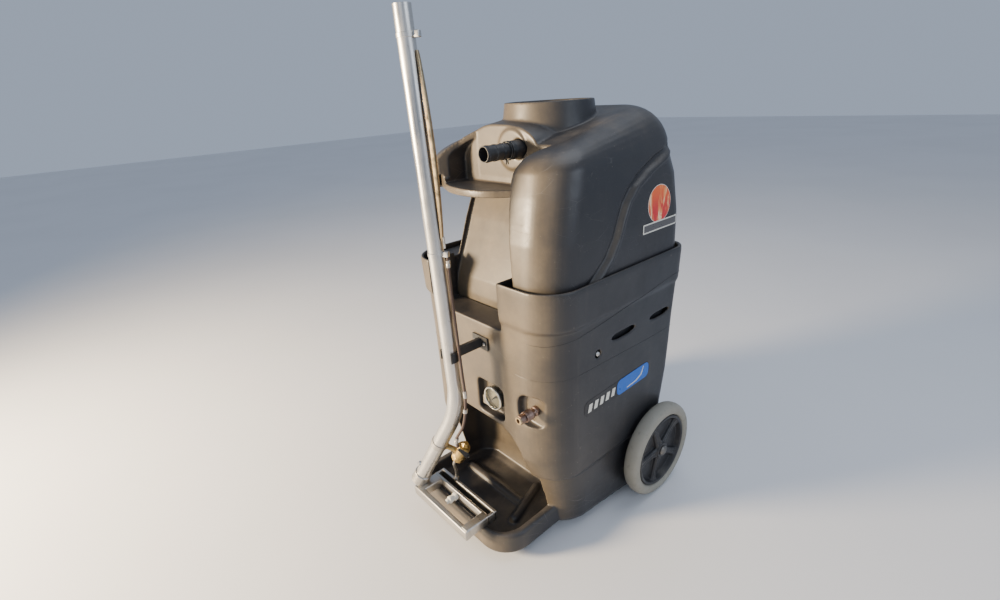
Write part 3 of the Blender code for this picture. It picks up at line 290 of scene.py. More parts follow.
HEAD_STEEL = steel("head_steel", (0.5, 0.475, 0.435), (4.0, 220.0, 220.0), 0.26, 0.48)
SMALL_STEEL = steel("small_steel", (0.58, 0.57, 0.55), (90.0, 90.0, 90.0), 0.24, 0.4)
DULL_STEEL = steel("dull_steel", (0.2, 0.19, 0.175), (90.0, 90.0, 90.0), 0.34, 0.52)
CHROME = steel("bezel_chrome", (0.66, 0.62, 0.52), (60.0, 60.0, 60.0), 0.1, 0.24)
ALUMINIUM = steel("aluminium", (0.52, 0.52, 0.53), (8.0, 240.0, 240.0), 0.32, 0.5)
BRASS = brass("brass_body")
OLD_BRASS = brass("brass_coupler", (0.27, 0.185, 0.15), (0.14, 0.098, 0.082))
BRONZE = brass("pull_bronze", (0.46, 0.36, 0.22), (0.24, 0.17, 0.1))
BLACK_STEEL = worn("black_steel", (0.018, 0.018, 0.019), 0.45,
                   [((70.0, 5.0, 0.7), 0.55, 0.78, 0.5, (0.1, 0.085, 0.07))],
                   ((40.0, 4.0), 0.3, 0.7, 0.36, 0.6), [((520.0, 2.0), 0.25, 0.0005)])
RUBBER = worn("soft_rubber", (0.02, 0.02, 0.02), 0.65,
              [((90.0, 4.0, 0.7), 0.5, 0.75, 0.4, (0.075, 0.068, 0.058))],
              ((50.0, 4.0), 0.3, 0.7, 0.55, 0.8), [((700.0, 2.0), 0.2, 0.0004)])
WHITE = pale_plastic("white_plastic", (0.72, 0.7, 0.62))
DIAL = pale_plastic("dial_face", (0.52, 0.46, 0.31), 0.5)
RED = pale_plastic("red_plastic", (0.42, 0.025, 0.02), 0.32)
INK = pale_plastic("dial_ink", (0.025, 0.022, 0.02), 0.5)
LENS = worn("clear_lens", (0.95, 0.96, 0.94), 0.04, [], ((60.0, 4.0), 0.4, 0.75, 0.03, 0.16), [],
            Transmission_Weight=1.0, IOR=1.2)
SUN_PRINT = sun_badge()
GREY_PRINT = strip_print("print_grey", (0.09, 0.085, 0.085))
DARK_PRINT = strip_print("print_dark", (0.012, 0.012, 0.014))
BLUE_PRINT = strip_print("print_blue", (0.012, 0.125, 0.52))
BRACKET = steel("bracket_steel", (0.36, 0.33, 0.27), (60.0, 60.0, 60.0), 0.36, 0.55)
CABLE = pale_plastic("cable_skin", (0.06, 0.035, 0.026), 0.45)


# ---------------------------------------------------------------- mesh tools
def put(obj, body, *nodes, slot=None):
    """Moves a finished piece from the design's own origin to the row's, hangs it on its body and hides the
    nodes it stands for.
    """
    obj.data.transform(Matrix.Translation((0.0, BACK, 0.0)))
    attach(obj, body)
    if nodes:
        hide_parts(*nodes)
    return obj


def linked(name, data):
    """A new object in the scene."""
    obj = bpy.data.objects.new(name, data)
    bpy.context.scene.collection.objects.link(obj)
    return obj


def own_box(node):
    """A node's box in the design's own frame."""
    shift = Vector((0.0, BACK, 0.0))
    low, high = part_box(node)
    return low - shift, high - shift


def seat_of(node):
    """Middle of the face that a node's box turns to the back, in the design's own frame."""
    low, high = own_box(node)
    return Vector(((low.x + high.x) / 2, high.y, (low.z + high.z) / 2))


def mesh_object(name, vertices, faces, material, sharp=40.0):
    mesh = bpy.data.meshes.new(name)
    mesh.from_pydata([tuple(v) for v in vertices], [], faces)
    mesh.materials.append(material)
    bm = bmesh.new()
    bm.from_mesh(mesh)
    bmesh.ops.recalc_face_normals(bm, faces=bm.faces)
    bm.to_mesh(mesh)
    bm.free()
    mesh.shade_smooth()
    mesh.set_sharp_from_angle(angle=radians(sharp))
    return linked(name, mesh)


def loft(name, rings, material=None, closed=False, sharp=40.0):
    count = len(rings[0])
    vertices = [p for ring in rings for p in ring]
    faces = []
    for a in range(len(rings) if closed else len(rings) - 1):
        b = (a + 1) % len(rings)
        for k in range(count):
            n = (k + 1) % count
            faces.append((a * count + k, a * count + n, b * count + n, b * count + k))
    if not closed:
        faces.append(tuple(reversed(range(count))))
        faces.append(tuple((len(rings) - 1) * count + k for k in range(count)))
    return mesh_object(name, vertices, faces, material or BLACK_PE, sharp)


def frame_to(point, axis):
    """Matrix that lays local +Z along an axis at a point."""
    return Matrix.Translation(point) @ Vector(axis).to_track_quat("Z", "Y").to_matrix().to_4x4()


def lathe(name, profile, material, point=(0, 0, 0), axis=(0, 0, 1), sides=64, soften=0.0, sharp=40.0):
    """Turned piece from (radius, height) points; closed profiles are turned as rings."""
    if soften:
        profile = softened(profile, soften)
    solid = profile[0][0] < 1e-7 and profile[-1][0] < 1e-7
    place = frame_to(Vector(point), axis)
    rings = []
    for k in range(sides):
        angle = 2 * pi * k / sides
        rings.append([place @ Vector((r * cos(angle), r * sin(angle), h)) for r, h in profile])
    if not solid:
        return loft(name, rings, material, True, sharp)
    vertices, faces = [rings[0][0], rings[0][-1]], []
    inner = len(profile) - 2
    for ring in rings:
        vertices += ring[1:-1]
    for k in range(sides):
        a, b = 2 + k * inner, 2 + ((k + 1) % sides) * inner
        faces.append((0, b, a))
        faces += [(a + j, b + j, b + j + 1, a + j + 1) for j in range(inner - 1)]
        faces.append((a + inner - 1, b + inner - 1, 1))
    return mesh_object(name, vertices, faces, material, sharp)


def drum(radius, low, high):
    """Profile of a plain cylinder."""
    return [(0, low), (radius, low), (radius, high), (0, high)]


def softened(profile, radius):
    """Rounds a profile's inner corners with short arcs."""
    points = [Vector(p) for p in profile]
    closed = points[0].x > 1e-7
    result = []
    for i, p in enumerate(points):
        if not closed and i in (0, len(points) - 1):
            result.append(tuple(p))
            continue
        before, after = points[i - 1] - p, points[(i + 1) % len(points)] - p
        reach = min(radius, before.length * 0.45, after.length * 0.45)
        a, b = p + before.normalized() * reach, p + after.normalized() * reach
        for share in (0.0, 0.25, 0.5, 0.75, 1.0):
            q = a * (1 - share) ** 2 + p * 2 * share * (1 - share) + b * share ** 2
            result.append((max(q.x, 0.0), q.y))
    return result


def block(name, low, high, material, bevel=0.001, steps=3):
    low, high = Vector(low), Vector(high)
    bm = bmesh.new()
    bmesh.ops.create_cube(bm, size=1.0)
    for v in bm.verts:
        v.co = Vector(((low[i] + high[i]) / 2 + v.co[i] * (high[i] - low[i]) for i in range(3)))
    if bevel:
        bmesh.ops.bevel(bm, geom=list(bm.edges), offset=bevel, segments=steps, profile=0.5, affect="EDGES",
                        clamp_overlap=True)
    mesh = bpy.data.meshes.new(name)
    bm.to_mesh(mesh)
    bm.free()
    mesh.materials.append(material)
    mesh.shade_smooth()
    mesh.set_sharp_from_angle(angle=radians(50))
    return linked(name, mesh)


def smooth_path(points, steps=6):
    """Catmull-Rom line through given points."""
    points = [Vector(p) for p in points]
    padded = [2 * points[0] - points[1]] + points + [2 * points[-1] - points[-2]]
    path = []
    for a, b, c, d in zip(padded, padded[1:], padded[2:], padded[3:]):
        for k in range(steps):
            t = k / steps
            path.append(0.5 * (2 * b + (c - a) * t + (2 * a - 5 * b + 4 * c - d) * t * t
                               + (3 * b - a - 3 * c + d) * t ** 3))
    return path + [points[-1]]


def rings_along(path, radius, sides):
    """Round rings square to a path, without twist. The radius may be a function of the share along it."""
    tangents = [(path[min(i + 1, len(path) - 1)] - path[max(i - 1, 0)]).normalized()
        for i in range(len(path))]
    side = tangents[0].orthogonal().normalized()
    rings = []
    for i, (p, t) in enumerate(zip(path, tangents)):
        side = (side - t * side.dot(t)).normalized()
        other = t.cross(side)
        r = radius(i / (len(path) - 1)) if callable(radius) else radius
        rings.append([p + side * r * cos(2 * pi * k / sides) + other * r * sin(2 * pi * k / sides)
                      for k in range(sides)])
    return rings


def rod(name, path, radius, material, sides=20):
    return loft(name, rings_along(path, radius, sides), material)


def pipe(name, path, radius, wall, material, sides=56):
    """Open tube along a path, with flat lips joining its outer and inner walls."""
    outer = rings_along(path, radius, sides)
    inner = rings_along(path, radius - wall, sides)
    return loft(name, outer + inner[::-1], material, True)


def boolean(target, other, operation="DIFFERENCE"):
    modifier = target.modifiers.new("step", "BOOLEAN")
    modifier.operation, modifier.solver, modifier.object = operation, "EXACT", other
    bake_modifiers(target)
    bpy.data.objects.remove(other)
    return target


def bake_modifiers(obj):
    bpy.context.view_layer.update()
    result = bpy.data.meshes.new_from_object(obj.evaluated_get(bpy.context.evaluated_depsgraph_get()))
    obj.modifiers.clear()
    old, obj.data = obj.data, result
    result.name = obj.name
    bpy.data.meshes.remove(old)
    while len(result.materials) > 1:
        result.materials.pop(index=len(result.materials) - 1)
    return obj


def cut(target, *others):
    for other in others:
        boolean(target, other)
    return target


def drill(target, radius, low, high, point, axis, sides):
    """Cuts a round hole from one height to another along an axis."""
    cut(target, lathe("hole", drum(radius, low, high), BLACK_PE, point, axis, sides))


def join(target, *others):
    for other in others:
        boolean(target, other, "UNION")
    return target


def merge(name, *objects):
    """One object out of several closed pieces that touch."""
    bm = bmesh.new()
    materials = []
    for obj in objects:
        start = len(bm.faces)
        bm.from_mesh(obj.data)
        bm.faces.ensure_lookup_table()
        material = obj.data.materials[0]
        if material not in materials:
            materials.append(material)
        for face in bm.faces[start:]:
            face.material_index = materials.index(material)
    mesh = bpy.data.meshes.new(name)
    bm.to_mesh(mesh)
    bm.free()
    for material in materials:
        mesh.materials.append(material)
    for obj in objects:
        bpy.data.objects.remove(obj)
    return linked(name, mesh)


def melted(obj, voxel, passes):
    """Rounds every edge the way a moulding has it: fine remesh, then smoothing."""
    remesh = obj.modifiers.new("remesh", "REMESH")
    remesh.mode, remesh.voxel_size, remesh.use_smooth_shade = "VOXEL", voxel, True
    smooth = obj.modifiers.new("smooth", "SMOOTH")
    smooth.factor, smooth.iterations = 0.5, passes
    bake_modifiers(obj)
    obj.data.shade_smooth()
    return obj


def moved(obj, function):
    """Moves every vertex by a function of its place and normal arrays."""
    mesh = obj.data
    co = np.empty(len(mesh.vertices) * 3, np.float32)
    mesh.vertices.foreach_get("co", co)
    normal = np.empty(len(mesh.vertices) * 3, np.float32)
    mesh.vertices.foreach_get("normal", normal)
    co, normal = co.reshape(-1, 3), normal.reshape(-1, 3)
    mesh.vertices.foreach_set("co", function(co, normal).astype(np.float32).ravel())
    mesh.update()
    return obj


# ---------------------------------------------------------------- forms of the mouldings
def outline(z, half_front, half_back, front, back, radius_front, radius_back, steps=14):
    corners = ((half_back, back, radius_back, 0.0), (-half_back, back, radius_back, 90.0),
               (-half_front, front, radius_front, 180.0), (half_front, front, radius_front, 270.0))
    ring = []
    for x, y, radius, start in corners:
        centre_x = x - radius if x > 0 else x + radius
        centre_y = y - radius if start < 180.0 else y + radius
        for k in range(steps + 1):
            angle = radians(start + 90.0 * k / steps)
            ring.append(Vector((centre_x + radius * cos(angle), centre_y + radius * sin(angle), z)))
    return ring


def lower_outer():
    rows = ((TOE_UNDER_Z + 0.004, 0.208, 0.228, -0.12, 0.236, 0.095, 0.035),
        (0.036, 0.212, 0.23, -0.122, 0.246, 0.095, 0.04), (0.1, 0.217, 0.231, -0.128, 0.254, 0.095, 0.04),
        (0.18, 0.222, BODY_HALF - 0.001, -0.142, 0.258, 0.09, 0.04),
        (0.194, 0.229, BODY_HALF, -0.161, 0.259, 0.085, 0.04),
        (0.24, 0.23, BODY_HALF, FRONT, 0.264, 0.092, 0.038),
        (0.33, 0.23, BODY_HALF, FRONT, 0.28, 0.092, 0.036),
        (0.4, 0.23, BODY_HALF, FRONT, 0.286, 0.09, 0.036),
        (0.48, 0.231, BODY_HALF, FRONT, 0.291, 0.088, 0.036),
        (0.562, 0.233, 0.234, FRONT, 0.3, 0.084, 0.038), (0.574, 0.239, 0.239, -0.175, 0.304, 0.08, 0.042),
        (0.645, 0.2415, 0.2415, -0.1765, 0.3065, 0.079, 0.044),
        (RIM_Z + 0.001, 0.2405, 0.2405, -0.1755, 0.3055, 0.078, 0.043))
    return loft("lower_form", [outline(*row) for row in rows])


def toe_outer():
    rings = [outline(z, TOE_HALF - inset, TOE_HALF - inset, TOE_FRONT + inset, 0.05, 0.075 - inset, 0.02)
        for z, inset in ((TOE_UNDER_Z, 0.01), (TOE_UNDER_Z + 0.01, 0.0), (TOE_RIM_Z - 0.006, 0.001),
        (TOE_RIM_Z + 0.001, 0.006))]
    return loft("toe_form", rings)


def tray_hollow():
    """The tray's basin and the arched hollow above it."""
    rings = [outline(*row) for row in (
        (0.034, 0.138, 0.138, -0.252, -0.06, 0.05, 0.05), (0.044, 0.154, 0.154, -0.263, -0.04, 0.058, 0.05),
        (TOE_RIM_Z + 0.0005, 0.16, 0.158, -0.267, -0.035, 0.062, 0.05),
        (TOE_RIM_Z + 0.003, 0.16, 0.158, -0.4, -0.035, 0.03, 0.05),
        (0.19, 0.152, 0.152, -0.4, -0.042, 0.03, 0.05), (0.25, 0.128, 0.128, -0.4, -0.062, 0.03, 0.045),
        (0.276, 0.102, 0.102, -0.4, -0.082, 0.03, 0.04), (0.293, 0.07, 0.07, -0.4, -0.105, 0.025, 0.03))]
    return loft("tray_hollow", rings)


def capsule(name, a, b, radius, flatten=1.0, sides=24):
    """Rounded bar between two points, used as a rib or a scoop."""
    a, b = Vector(a), Vector(b)
    along = (b - a).normalized()
    turns = [pi / 2 * k / 8 for k in range(9)]
    path = [a - along * radius * cos(t) for t in turns]
    path += [b + along * radius * cos(t) for t in reversed(turns)]
    radii = [max(radius * sin(t), 0.0004) for t in turns + turns[::-1]]
    middle = (a + b) / 2
    rings = rings_along(path, lambda share: 1.0, sides)
    rings = [[c + (p - c) * r for p in ring] for ring, c, r in zip(rings, path, radii)]
    rings = [[Vector((p.x, p.y, middle.z + (p.z - middle.z) * flatten)) for p in ring] for ring in rings]
    return loft(name, rings)


def build_lower_shell():
    shell = join(lower_outer(), toe_outer())
    cut(shell, tray_hollow())
    cut(shell, block("bay", (BAY_LEFT, -0.3, SHELF_Z), (BAY_RIGHT, -0.06, 0.7), BLACK_PE, 0.0))
    hollow = loft("hollow",
        [outline(*row) for row in ((DECK_Z + 0.003, 0.205, 0.205, -0.068, 0.244, 0.06, 0.03),
        (0.4, 0.212, 0.212, -0.108, 0.258, 0.07, 0.032),
        (SEAT_Z - 0.0005, 0.214, 0.214, -0.14, 0.266, 0.075, 0.034),
        (SEAT_Z, 0.225, 0.2255, -0.163, 0.277, 0.085, 0.036),
        (0.56, 0.227, 0.2275, -0.1645, 0.29, 0.082, 0.038),
        (0.58, 0.232, 0.232, -0.168, 0.296, 0.076, 0.04),
        (0.7, 0.2365, 0.2365, -0.172, 0.3, 0.074, 0.042))])
    cut(hollow, block("shelf", (BAY_LEFT - 0.006, -0.3, SHELF_Z - 0.006),
        (BAY_RIGHT + 0.006, -0.0975, 0.75), BLACK_PE, 0.0))
    cut(shell, hollow)
    cut(shell, loft("works_bay", [outline(z, front_half, back_half, -0.028, back, 0.03, 0.03)
        for z, front_half, back_half, back in ((0.01, 0.198, 0.218, 0.226), (0.036, 0.202, 0.222, 0.24),
        (0.11, 0.208, 0.224, 0.247), (0.2, 0.22, 0.2265, 0.25), (DECK_Z - 0.0065, 0.221, 0.2265, 0.253))]))
    panel_low, panel_high = own_box("switch_panel")
    cut(shell, block("panel_window", (-0.085, 0.235, 0.207), (0.085, 0.28, 0.283), BLACK_PE, 0.0),
        block("panel_seat", (panel_low.x - 0.002, panel_low.y - 0.0004, panel_low.z - 0.002),
              (panel_high.x + 0.002, 0.29, panel_high.z + 0.002), BLACK_PE, 0.0))
    for node, across, up_down, radius in (("gauge_case", (-0.054, 0.037), (-0.051, 0.038), 0.014),
            ("quick_coupler", (-0.04, 0.04), (-0.04, 0.038), 0.03)):
        seat = seat_of(node)
        cut(shell, pocket_form((seat.x + across[0], seat.x + across[1]),
                               (seat.z + up_down[0], seat.z + up_down[1]), seat.y, radius))
    drill(shell, 0.01, -0.26, 0.26, (0, AXLE_Y, AXLE.z), (1, 0, 0), 32)
    drill(shell, 0.0262, 0.28, 0.32, PIPE, (0, 0, 1), 40)
    drain_x = seat_of("drain_valve").x
    cut(shell, lathe("drain_pocket", [(0, 0.2685), (0.032, 0.2685), (0.036, 0.272), (0.038, 0.32),
        (0, 0.32)], BLACK_PE, (drain_x, 0, 0.34), (0, 1, 0), 48))
    drill(shell, 0.0095, 0.22, 0.3, (drain_x, 0, DRAIN_Z), (0, 1, 0), 32)
    for side in (-1, 1):
        for start, end in ((0.026, 0.112), (0.17, 0.252)):
            cut(shell, slot_form(side, start, end, 0.5))
        drill(shell, 0.0095, -0.012, 0.02, (side * BODY_HALF, *BOLT_PLACE), (side, 0, 0), 32)
    ribs = [capsule("rib", (-0.128, -0.128, 0.034), (0.07, -0.128, 0.034), 0.013, 0.85),
            capsule("rib", (0.066, -0.064, 0.036), (0.104, -0.18, 0.036), 0.012, 1.15)]
    join(shell, *ribs)
    melted(shell, VOXEL, 7)
    shell.name = "lower_shell"
    return shell


def pocket_form(across, heights, seat, radius, steps=10):
    """Round-cornered pocket in the front face, narrowing towards its back."""
    rings = []
    for y, shrink in ((-0.2, -0.004), (seat - 0.004, 0.002), (seat, 0.006)):
        ring = []
        for k, (right, high) in enumerate(((True, True), (False, True), (False, False), (True, False))):
            turn_x = across[1] - radius if right else across[0] + radius
            turn_z = heights[1] - radius if high else heights[0] + radius
            for step in range(steps + 1):
                angle = pi / 2 * (k + step / steps)
                ring.append(Vector((turn_x + (radius - shrink) * cos(angle), y,
                                    turn_z + (radius - shrink) * sin(angle))))
        rings.append(ring)
    return loft("pocket", rings)


def slot_form(side, start, end, z):
    """Hand-hold slot with its middle wider than its ends."""
    x = side * (BODY_HALF + 0.001)
    profile = [(start, z - 0.002), (start + 0.022, z - 0.0075), (end - 0.022, z - 0.0075), (end, z - 0.002),
               (end, z + 0.003), (end - 0.014, z + 0.0075), (start + 0.014, z + 0.0075), (start, z + 0.003)]
    return loft("slot", [[Vector((x + d, y, h)) for y, h in profile] for d in (-0.02, 0.02)])


def side_recess(co):
    """Depth of the curved channel on the tank's sides, and of the panel behind it."""
    y, z = co[:, 1], co[:, 2]
    knots_z = np.array([0.62, 0.65, 0.668, 0.69, 0.724, 0.759, 0.792, 0.82, 0.845, 0.87, 0.9])
    knots_y = np.array([-0.09, -0.048, -0.024, 0.002, 0.026, 0.041, 0.058, 0.084, 0.126, 0.185, 0.28])
    line = np.interp(z, knots_z, knots_y)
    slope = np.interp(z, knots_z, np.gradient(knots_y, knots_z))
    away = (y - line) / np.sqrt(1 + slope ** 2)
    width = 0.012
    channel = np.where(np.abs(away) < width, np.cos(away / width * pi / 2) ** 2, 0.0) * 0.0075
    bead = np.exp(-((away - 0.0155) / 0.004) ** 2) * 0.0018
    panel = np.clip((away - 0.006) / 0.008, 0, 1) * 0.0028
    return channel - panel - bead


def recess_form(grow=0.0):
    """The bay under the hood."""
    wall = BAY_WALL + grow
    profile = [(-0.4, 0.44 - grow), (wall, 0.44 - grow), (wall, 0.56), (wall + 0.007, 0.6),
               (-0.07 + grow, 0.64), (-0.05 + grow, 0.69), (-0.033 + grow, 0.735), (-0.01 + grow, 0.79),
               (-0.01 + grow, HOOD_UNDER_Z - 0.005 + grow), (-0.02 + grow, HOOD_UNDER_Z + grow),
               (-0.4, HOOD_UNDER_Z + grow)]
    left = [Vector((BAY_LEFT - 0.0065 - grow, y, z)) for y, z in profile]
    right = [Vector((PILLAR_LEFT + PILLAR_LEAN * (HOOD_UNDER_Z - z) + grow, y, z)) for y, z in profile]
    return loft("recess", [left, right])


def corner_form(grow=0.0):
    low = RIM_Z - 0.01 - grow
    left = BAY_LEFT - 0.002
    rings = [[Vector((x, y, z)) for x, y in (
        (-0.3, -0.4), (left, -0.4), (left, wall - 0.02 + grow), (-0.19, wall + 0.012 + grow),
        (-0.24, wall + 0.06 + grow), (-0.3, wall + 0.075 + grow))]
        for z, wall in ((low, -0.066), (0.73, -0.035), (0.79, -0.008), (HOOD_UNDER_Z + grow, -0.01))]
    return loft("corner", rings)


def hood_outline(inset, y, rise=0.0, steps=28):
    floor, side = 0.85, 0.88
    left, right, top = -0.158 + inset, 0.099 - inset, HOOD_TOP_Z - inset + rise
    middle, half = (left + right) / 2, (right - left) / 2
    ring = [Vector((right, y, floor))]
    for k in range(0, steps + 1):
        angle = pi * k / steps
        past = min(max((k / steps - 0.35) / 0.3, 0.0), 1.0)
        side_power, top_power = 0.7 + 0.25 * past, 0.8 + 0.4 * past
        reach = abs(cos(angle)) ** side_power * (1 if 2 * k < steps else -1)
        ring.append(Vector((middle + half * reach, y, side + (top - side) * sin(angle) ** top_power)))
    ring.append(Vector((left, y, floor)))
    return ring


def hood_form(inset=0.0):
    rings = [hood_outline(inset, y + (inset if y < -0.1 else 0.0), rise)
             for y, rise in ((-0.12, -0.006), (-0.09, -0.003), (-0.06, 0.0), (-0.02, 0.006), (0.02, 0.012))]
    return loft("hood", rings)


def alcove_form(grow=0.0):
    rings = []
    for y in (-0.3, ALCOVE_DEPTH + grow):
        ring = hood_outline(0.014 - grow, y)
        ring[0].z = ring[-1].z = ALCOVE_FLOOR_Z - grow
        rings.append(ring)
    return loft("alcove", rings)


def hood_trim(grow=0.0):
    """Slants the hood's front: its roof covers the left of the plate and fades out to the right."""
    plate, rings = ALCOVE_DEPTH + grow, []
    for z, right in ((0.838 - grow, 0.1), (0.87, 0.104), (0.9, 0.118), (0.925, 0.146), (1.02, 0.15)):
        rings.append([Vector((x, y, z)) for x, y in ((-0.19, -0.128 + grow), (-0.158, -0.118 + grow),
            (-0.128 + grow, -0.074 + grow), (-0.096, plate + 0.0005), (right + grow, plate + 0.0005),
            (right + grow, -0.4), (-0.19, -0.4))])
    return loft("trim", rings)


def floor_trim(grow=0.0):
    """The bowed front edge of the alcove's floor, which runs back to the pillar."""
    line = smooth_path([Vector((x, y + grow, 0.0)) for x, y in ((-0.19, -0.092), (-0.147, -0.112),
        (-0.105, -0.13), (-0.057, -0.138), (-0.012, -0.135), (0.024, -0.122), (0.05, -0.103),
        (0.078, -0.082), (0.104, -0.062))], 4)
    plan = [(p.x, p.y) for p in line] + [(0.104, -0.4), (-0.19, -0.4)]
    return loft("floor_trim", [[Vector((x, y, z)) for x, y in plan] for z in (HOOD_UNDER_Z - 0.01, 0.846)])


def tank_form(inset=0.0, steps=10):
    rows = ((SEAT_Z + 0.0003 + inset, 0.214, -0.146, 0.262, 0.074, 0.032),
            (0.472 + inset, 0.219, -0.153, 0.268, 0.08, 0.034), (0.56, 0.224, -0.16, 0.281, 0.082, 0.038),
            (RIM_Z, 0.23, -0.163, 0.289, 0.08, 0.044), (0.74, 0.23, -0.157, 0.292, 0.08, 0.052),
            (SHOULDER_Z - 0.04, 0.226, -0.14, 0.287, 0.08, 0.066))
    rings = [outline(z, half - inset, half - inset, front + inset, back - inset, front_r - inset,
        back_r - inset) for z, half, front, back, front_r, back_r in rows]
    for step in range(steps + 1):
        angle = radians(90.0 * step / steps)
        draw = SHOULDER_RADIUS * (1 - cos(angle)) + inset
        corner = max(0.08 - draw * 0.5, 0.03)
        ring = outline(SHOULDER_Z + (SHOULDER_RADIUS - inset) * sin(angle), 0.222 - draw, 0.222 - draw,
            -0.13 + draw, 0.28 - draw, corner, corner)
        for point in ring:
            point.z += DECK_SLOPE * (point.y - NECK.y) * (step / steps) ** 0.8
        rings.append(ring)
    return loft("tank_form", rings)


def build_tank_shell():
    tank = join(tank_form(), hood_form())
    cut(tank, recess_form(), corner_form(), alcove_form(), hood_trim(), floor_trim())
    neck = lathe("neck", [(0, 0.88), (NECK_RADIUS + 0.003, 0.88), (NECK_RADIUS, 0.925),
        (NECK_TOP_RADIUS + 0.0005, NECK_TOP_Z - 0.004), (NECK_TOP_RADIUS, NECK_TOP_Z + 0.0008),
        (0, NECK_TOP_Z + 0.0008)], BLACK_PE, NECK, (0, 0, 1), 96)
    boss = lathe("boss", [(0, 0.0), (0.04, 0.0), (0.044, 0.006), (0.045, 0.075), (0, 0.075)], BLACK_PE,
                 (BARB.x - 0.022, ALCOVE_DEPTH - 0.004, BARB.z - 0.002), (0, 1, 0), 64)
    join(tank, neck, boss)
    inside = join(tank_form(SHELL), hood_form(SHELL))
    cut(inside, recess_form(SHELL), corner_form(SHELL), alcove_form(SHELL), hood_trim(SHELL),
        floor_trim(SHELL))
    cut(tank, inside)
    drill(tank, 0.02, -0.12, 0.05, (BARB.x, 0, BARB.z), (0, 1, 0), 48)
    drill(tank, 0.0262, 0.44, 0.48, PIPE, (0, 0, 1), 40)
    drill(tank, NECK_TOP_RADIUS - 0.0055, 0.85, 1.05, NECK, (0, 0, 1), 96)
    melted(tank, VOXEL, 7)

    def press(co, normal):
        outward = np.sign(normal[:, 0]) == np.sign(co[:, 0])
        facing = np.clip((np.abs(normal[:, 0]) - 0.35) / 0.3, 0, 1) * outward
        outside = np.clip((np.abs(co[:, 0]) - 0.2) / 0.01, 0, 1)
        above = np.clip((co[:, 2] - RIM_Z + 0.03) / 0.01, 0, 1)
        co = co.copy()
        co[:, 0] -= np.sign(co[:, 0]) * side_recess(co) * facing * outside * above
        return co

    moved(tank, press)
    tank.name = "tank_shell"
    return tank


def surface_of(obj):
    bm = bmesh.new()
    bm.from_mesh(obj.data)
    tree = BVHTree.FromBMesh(bm)
    bm.free()
    return tree


def seam(name, tree, heights, radius=0.0008, turns=(0.0, 2 * pi), count=260, centre=(0.0, 0.06)):
    """Raised moulding flash that runs round a shell at a height given by the angle."""
    path = []
    for k in range(count + 1):
        angle = turns[0] + (turns[1] - turns[0]) * k / count
        z = heights(angle)
        outward = Vector((sin(angle), -cos(angle), 0.0))
        start = Vector((centre[0], centre[1], z)) + outward * 0.7
        found = tree.ray_cast(start, -outward)
        if found[0] is not None and (found[0] - start).length < 0.62:
            path.append(found[0] + found[1] * (radius * 0.1))
    return rod(name, path, radius, BLACK_PE, 8)


def sticker(name, tree, side, plan, material, lift=0.0004, thick=0.0003):
    """Thin label pressed on a side of a shell. The plan is a filled outline in (y, z)."""
    bm = bmesh.new()
    ring = [bm.verts.new((0.0, y, z)) for y, z in plan]
    bm.faces.new(ring)
    bmesh.ops.triangulate(bm, faces=bm.faces)
    for _ in range(4):
        long = [e for e in bm.edges if e.calc_length() > 0.006]
        if not long:
            break
        bmesh.ops.subdivide_edges(bm, edges=long, cuts=1)
        bmesh.ops.triangulate(bm, faces=bm.faces)
    for v in bm.verts:
        start = Vector((side * 0.5, v.co.y, v.co.z))
        found = tree.ray_cast(start, Vector((-side, 0, 0)))
        v.co.x = found[0].x + side * lift
    mesh = bpy.data.meshes.new(name)
    bm.to_mesh(mesh)
    bm.free()
    mesh.materials.append(material)
    obj = linked(name, mesh)
    solid = obj.modifiers.new("thickness", "SOLIDIFY")
    solid.thickness, solid.offset = thick, 0.0
    bake_modifiers(obj)
    obj.data.shade_smooth()
    obj.data.set_sharp_from_angle(angle=radians(50))
    return obj


def ellipse_plan(y, z, half_y, half_z, count=40):
    return [(y + half_y * cos(2 * pi * k / count), z + half_z * sin(2 * pi * k / count))
        for k in range(count)]


def leaning_plan(start, end, height, radius=0.012, steps=6):
    """Rounded bar from one (y, z) to another, upright at its ends: the strip under the round badge."""
    (y0, z0), (y1, z1) = start, end
    plan = []
    for y, z, first in ((y1, z1, 0), (y0, z0, 2)):
        inward, rise = radius if first == 0 else -radius, height / 2 - radius
        for quarter in (first, first + 1):
            for k in range(steps + 1):
                angle = -pi / 2 + pi / 2 * (quarter + k / steps)
                plan.append((y - inward + radius * cos(angle),
                    z + (rise if sin(angle) > 0 or quarter in (1, 2) else -rise) + radius * sin(angle)))
    return plan


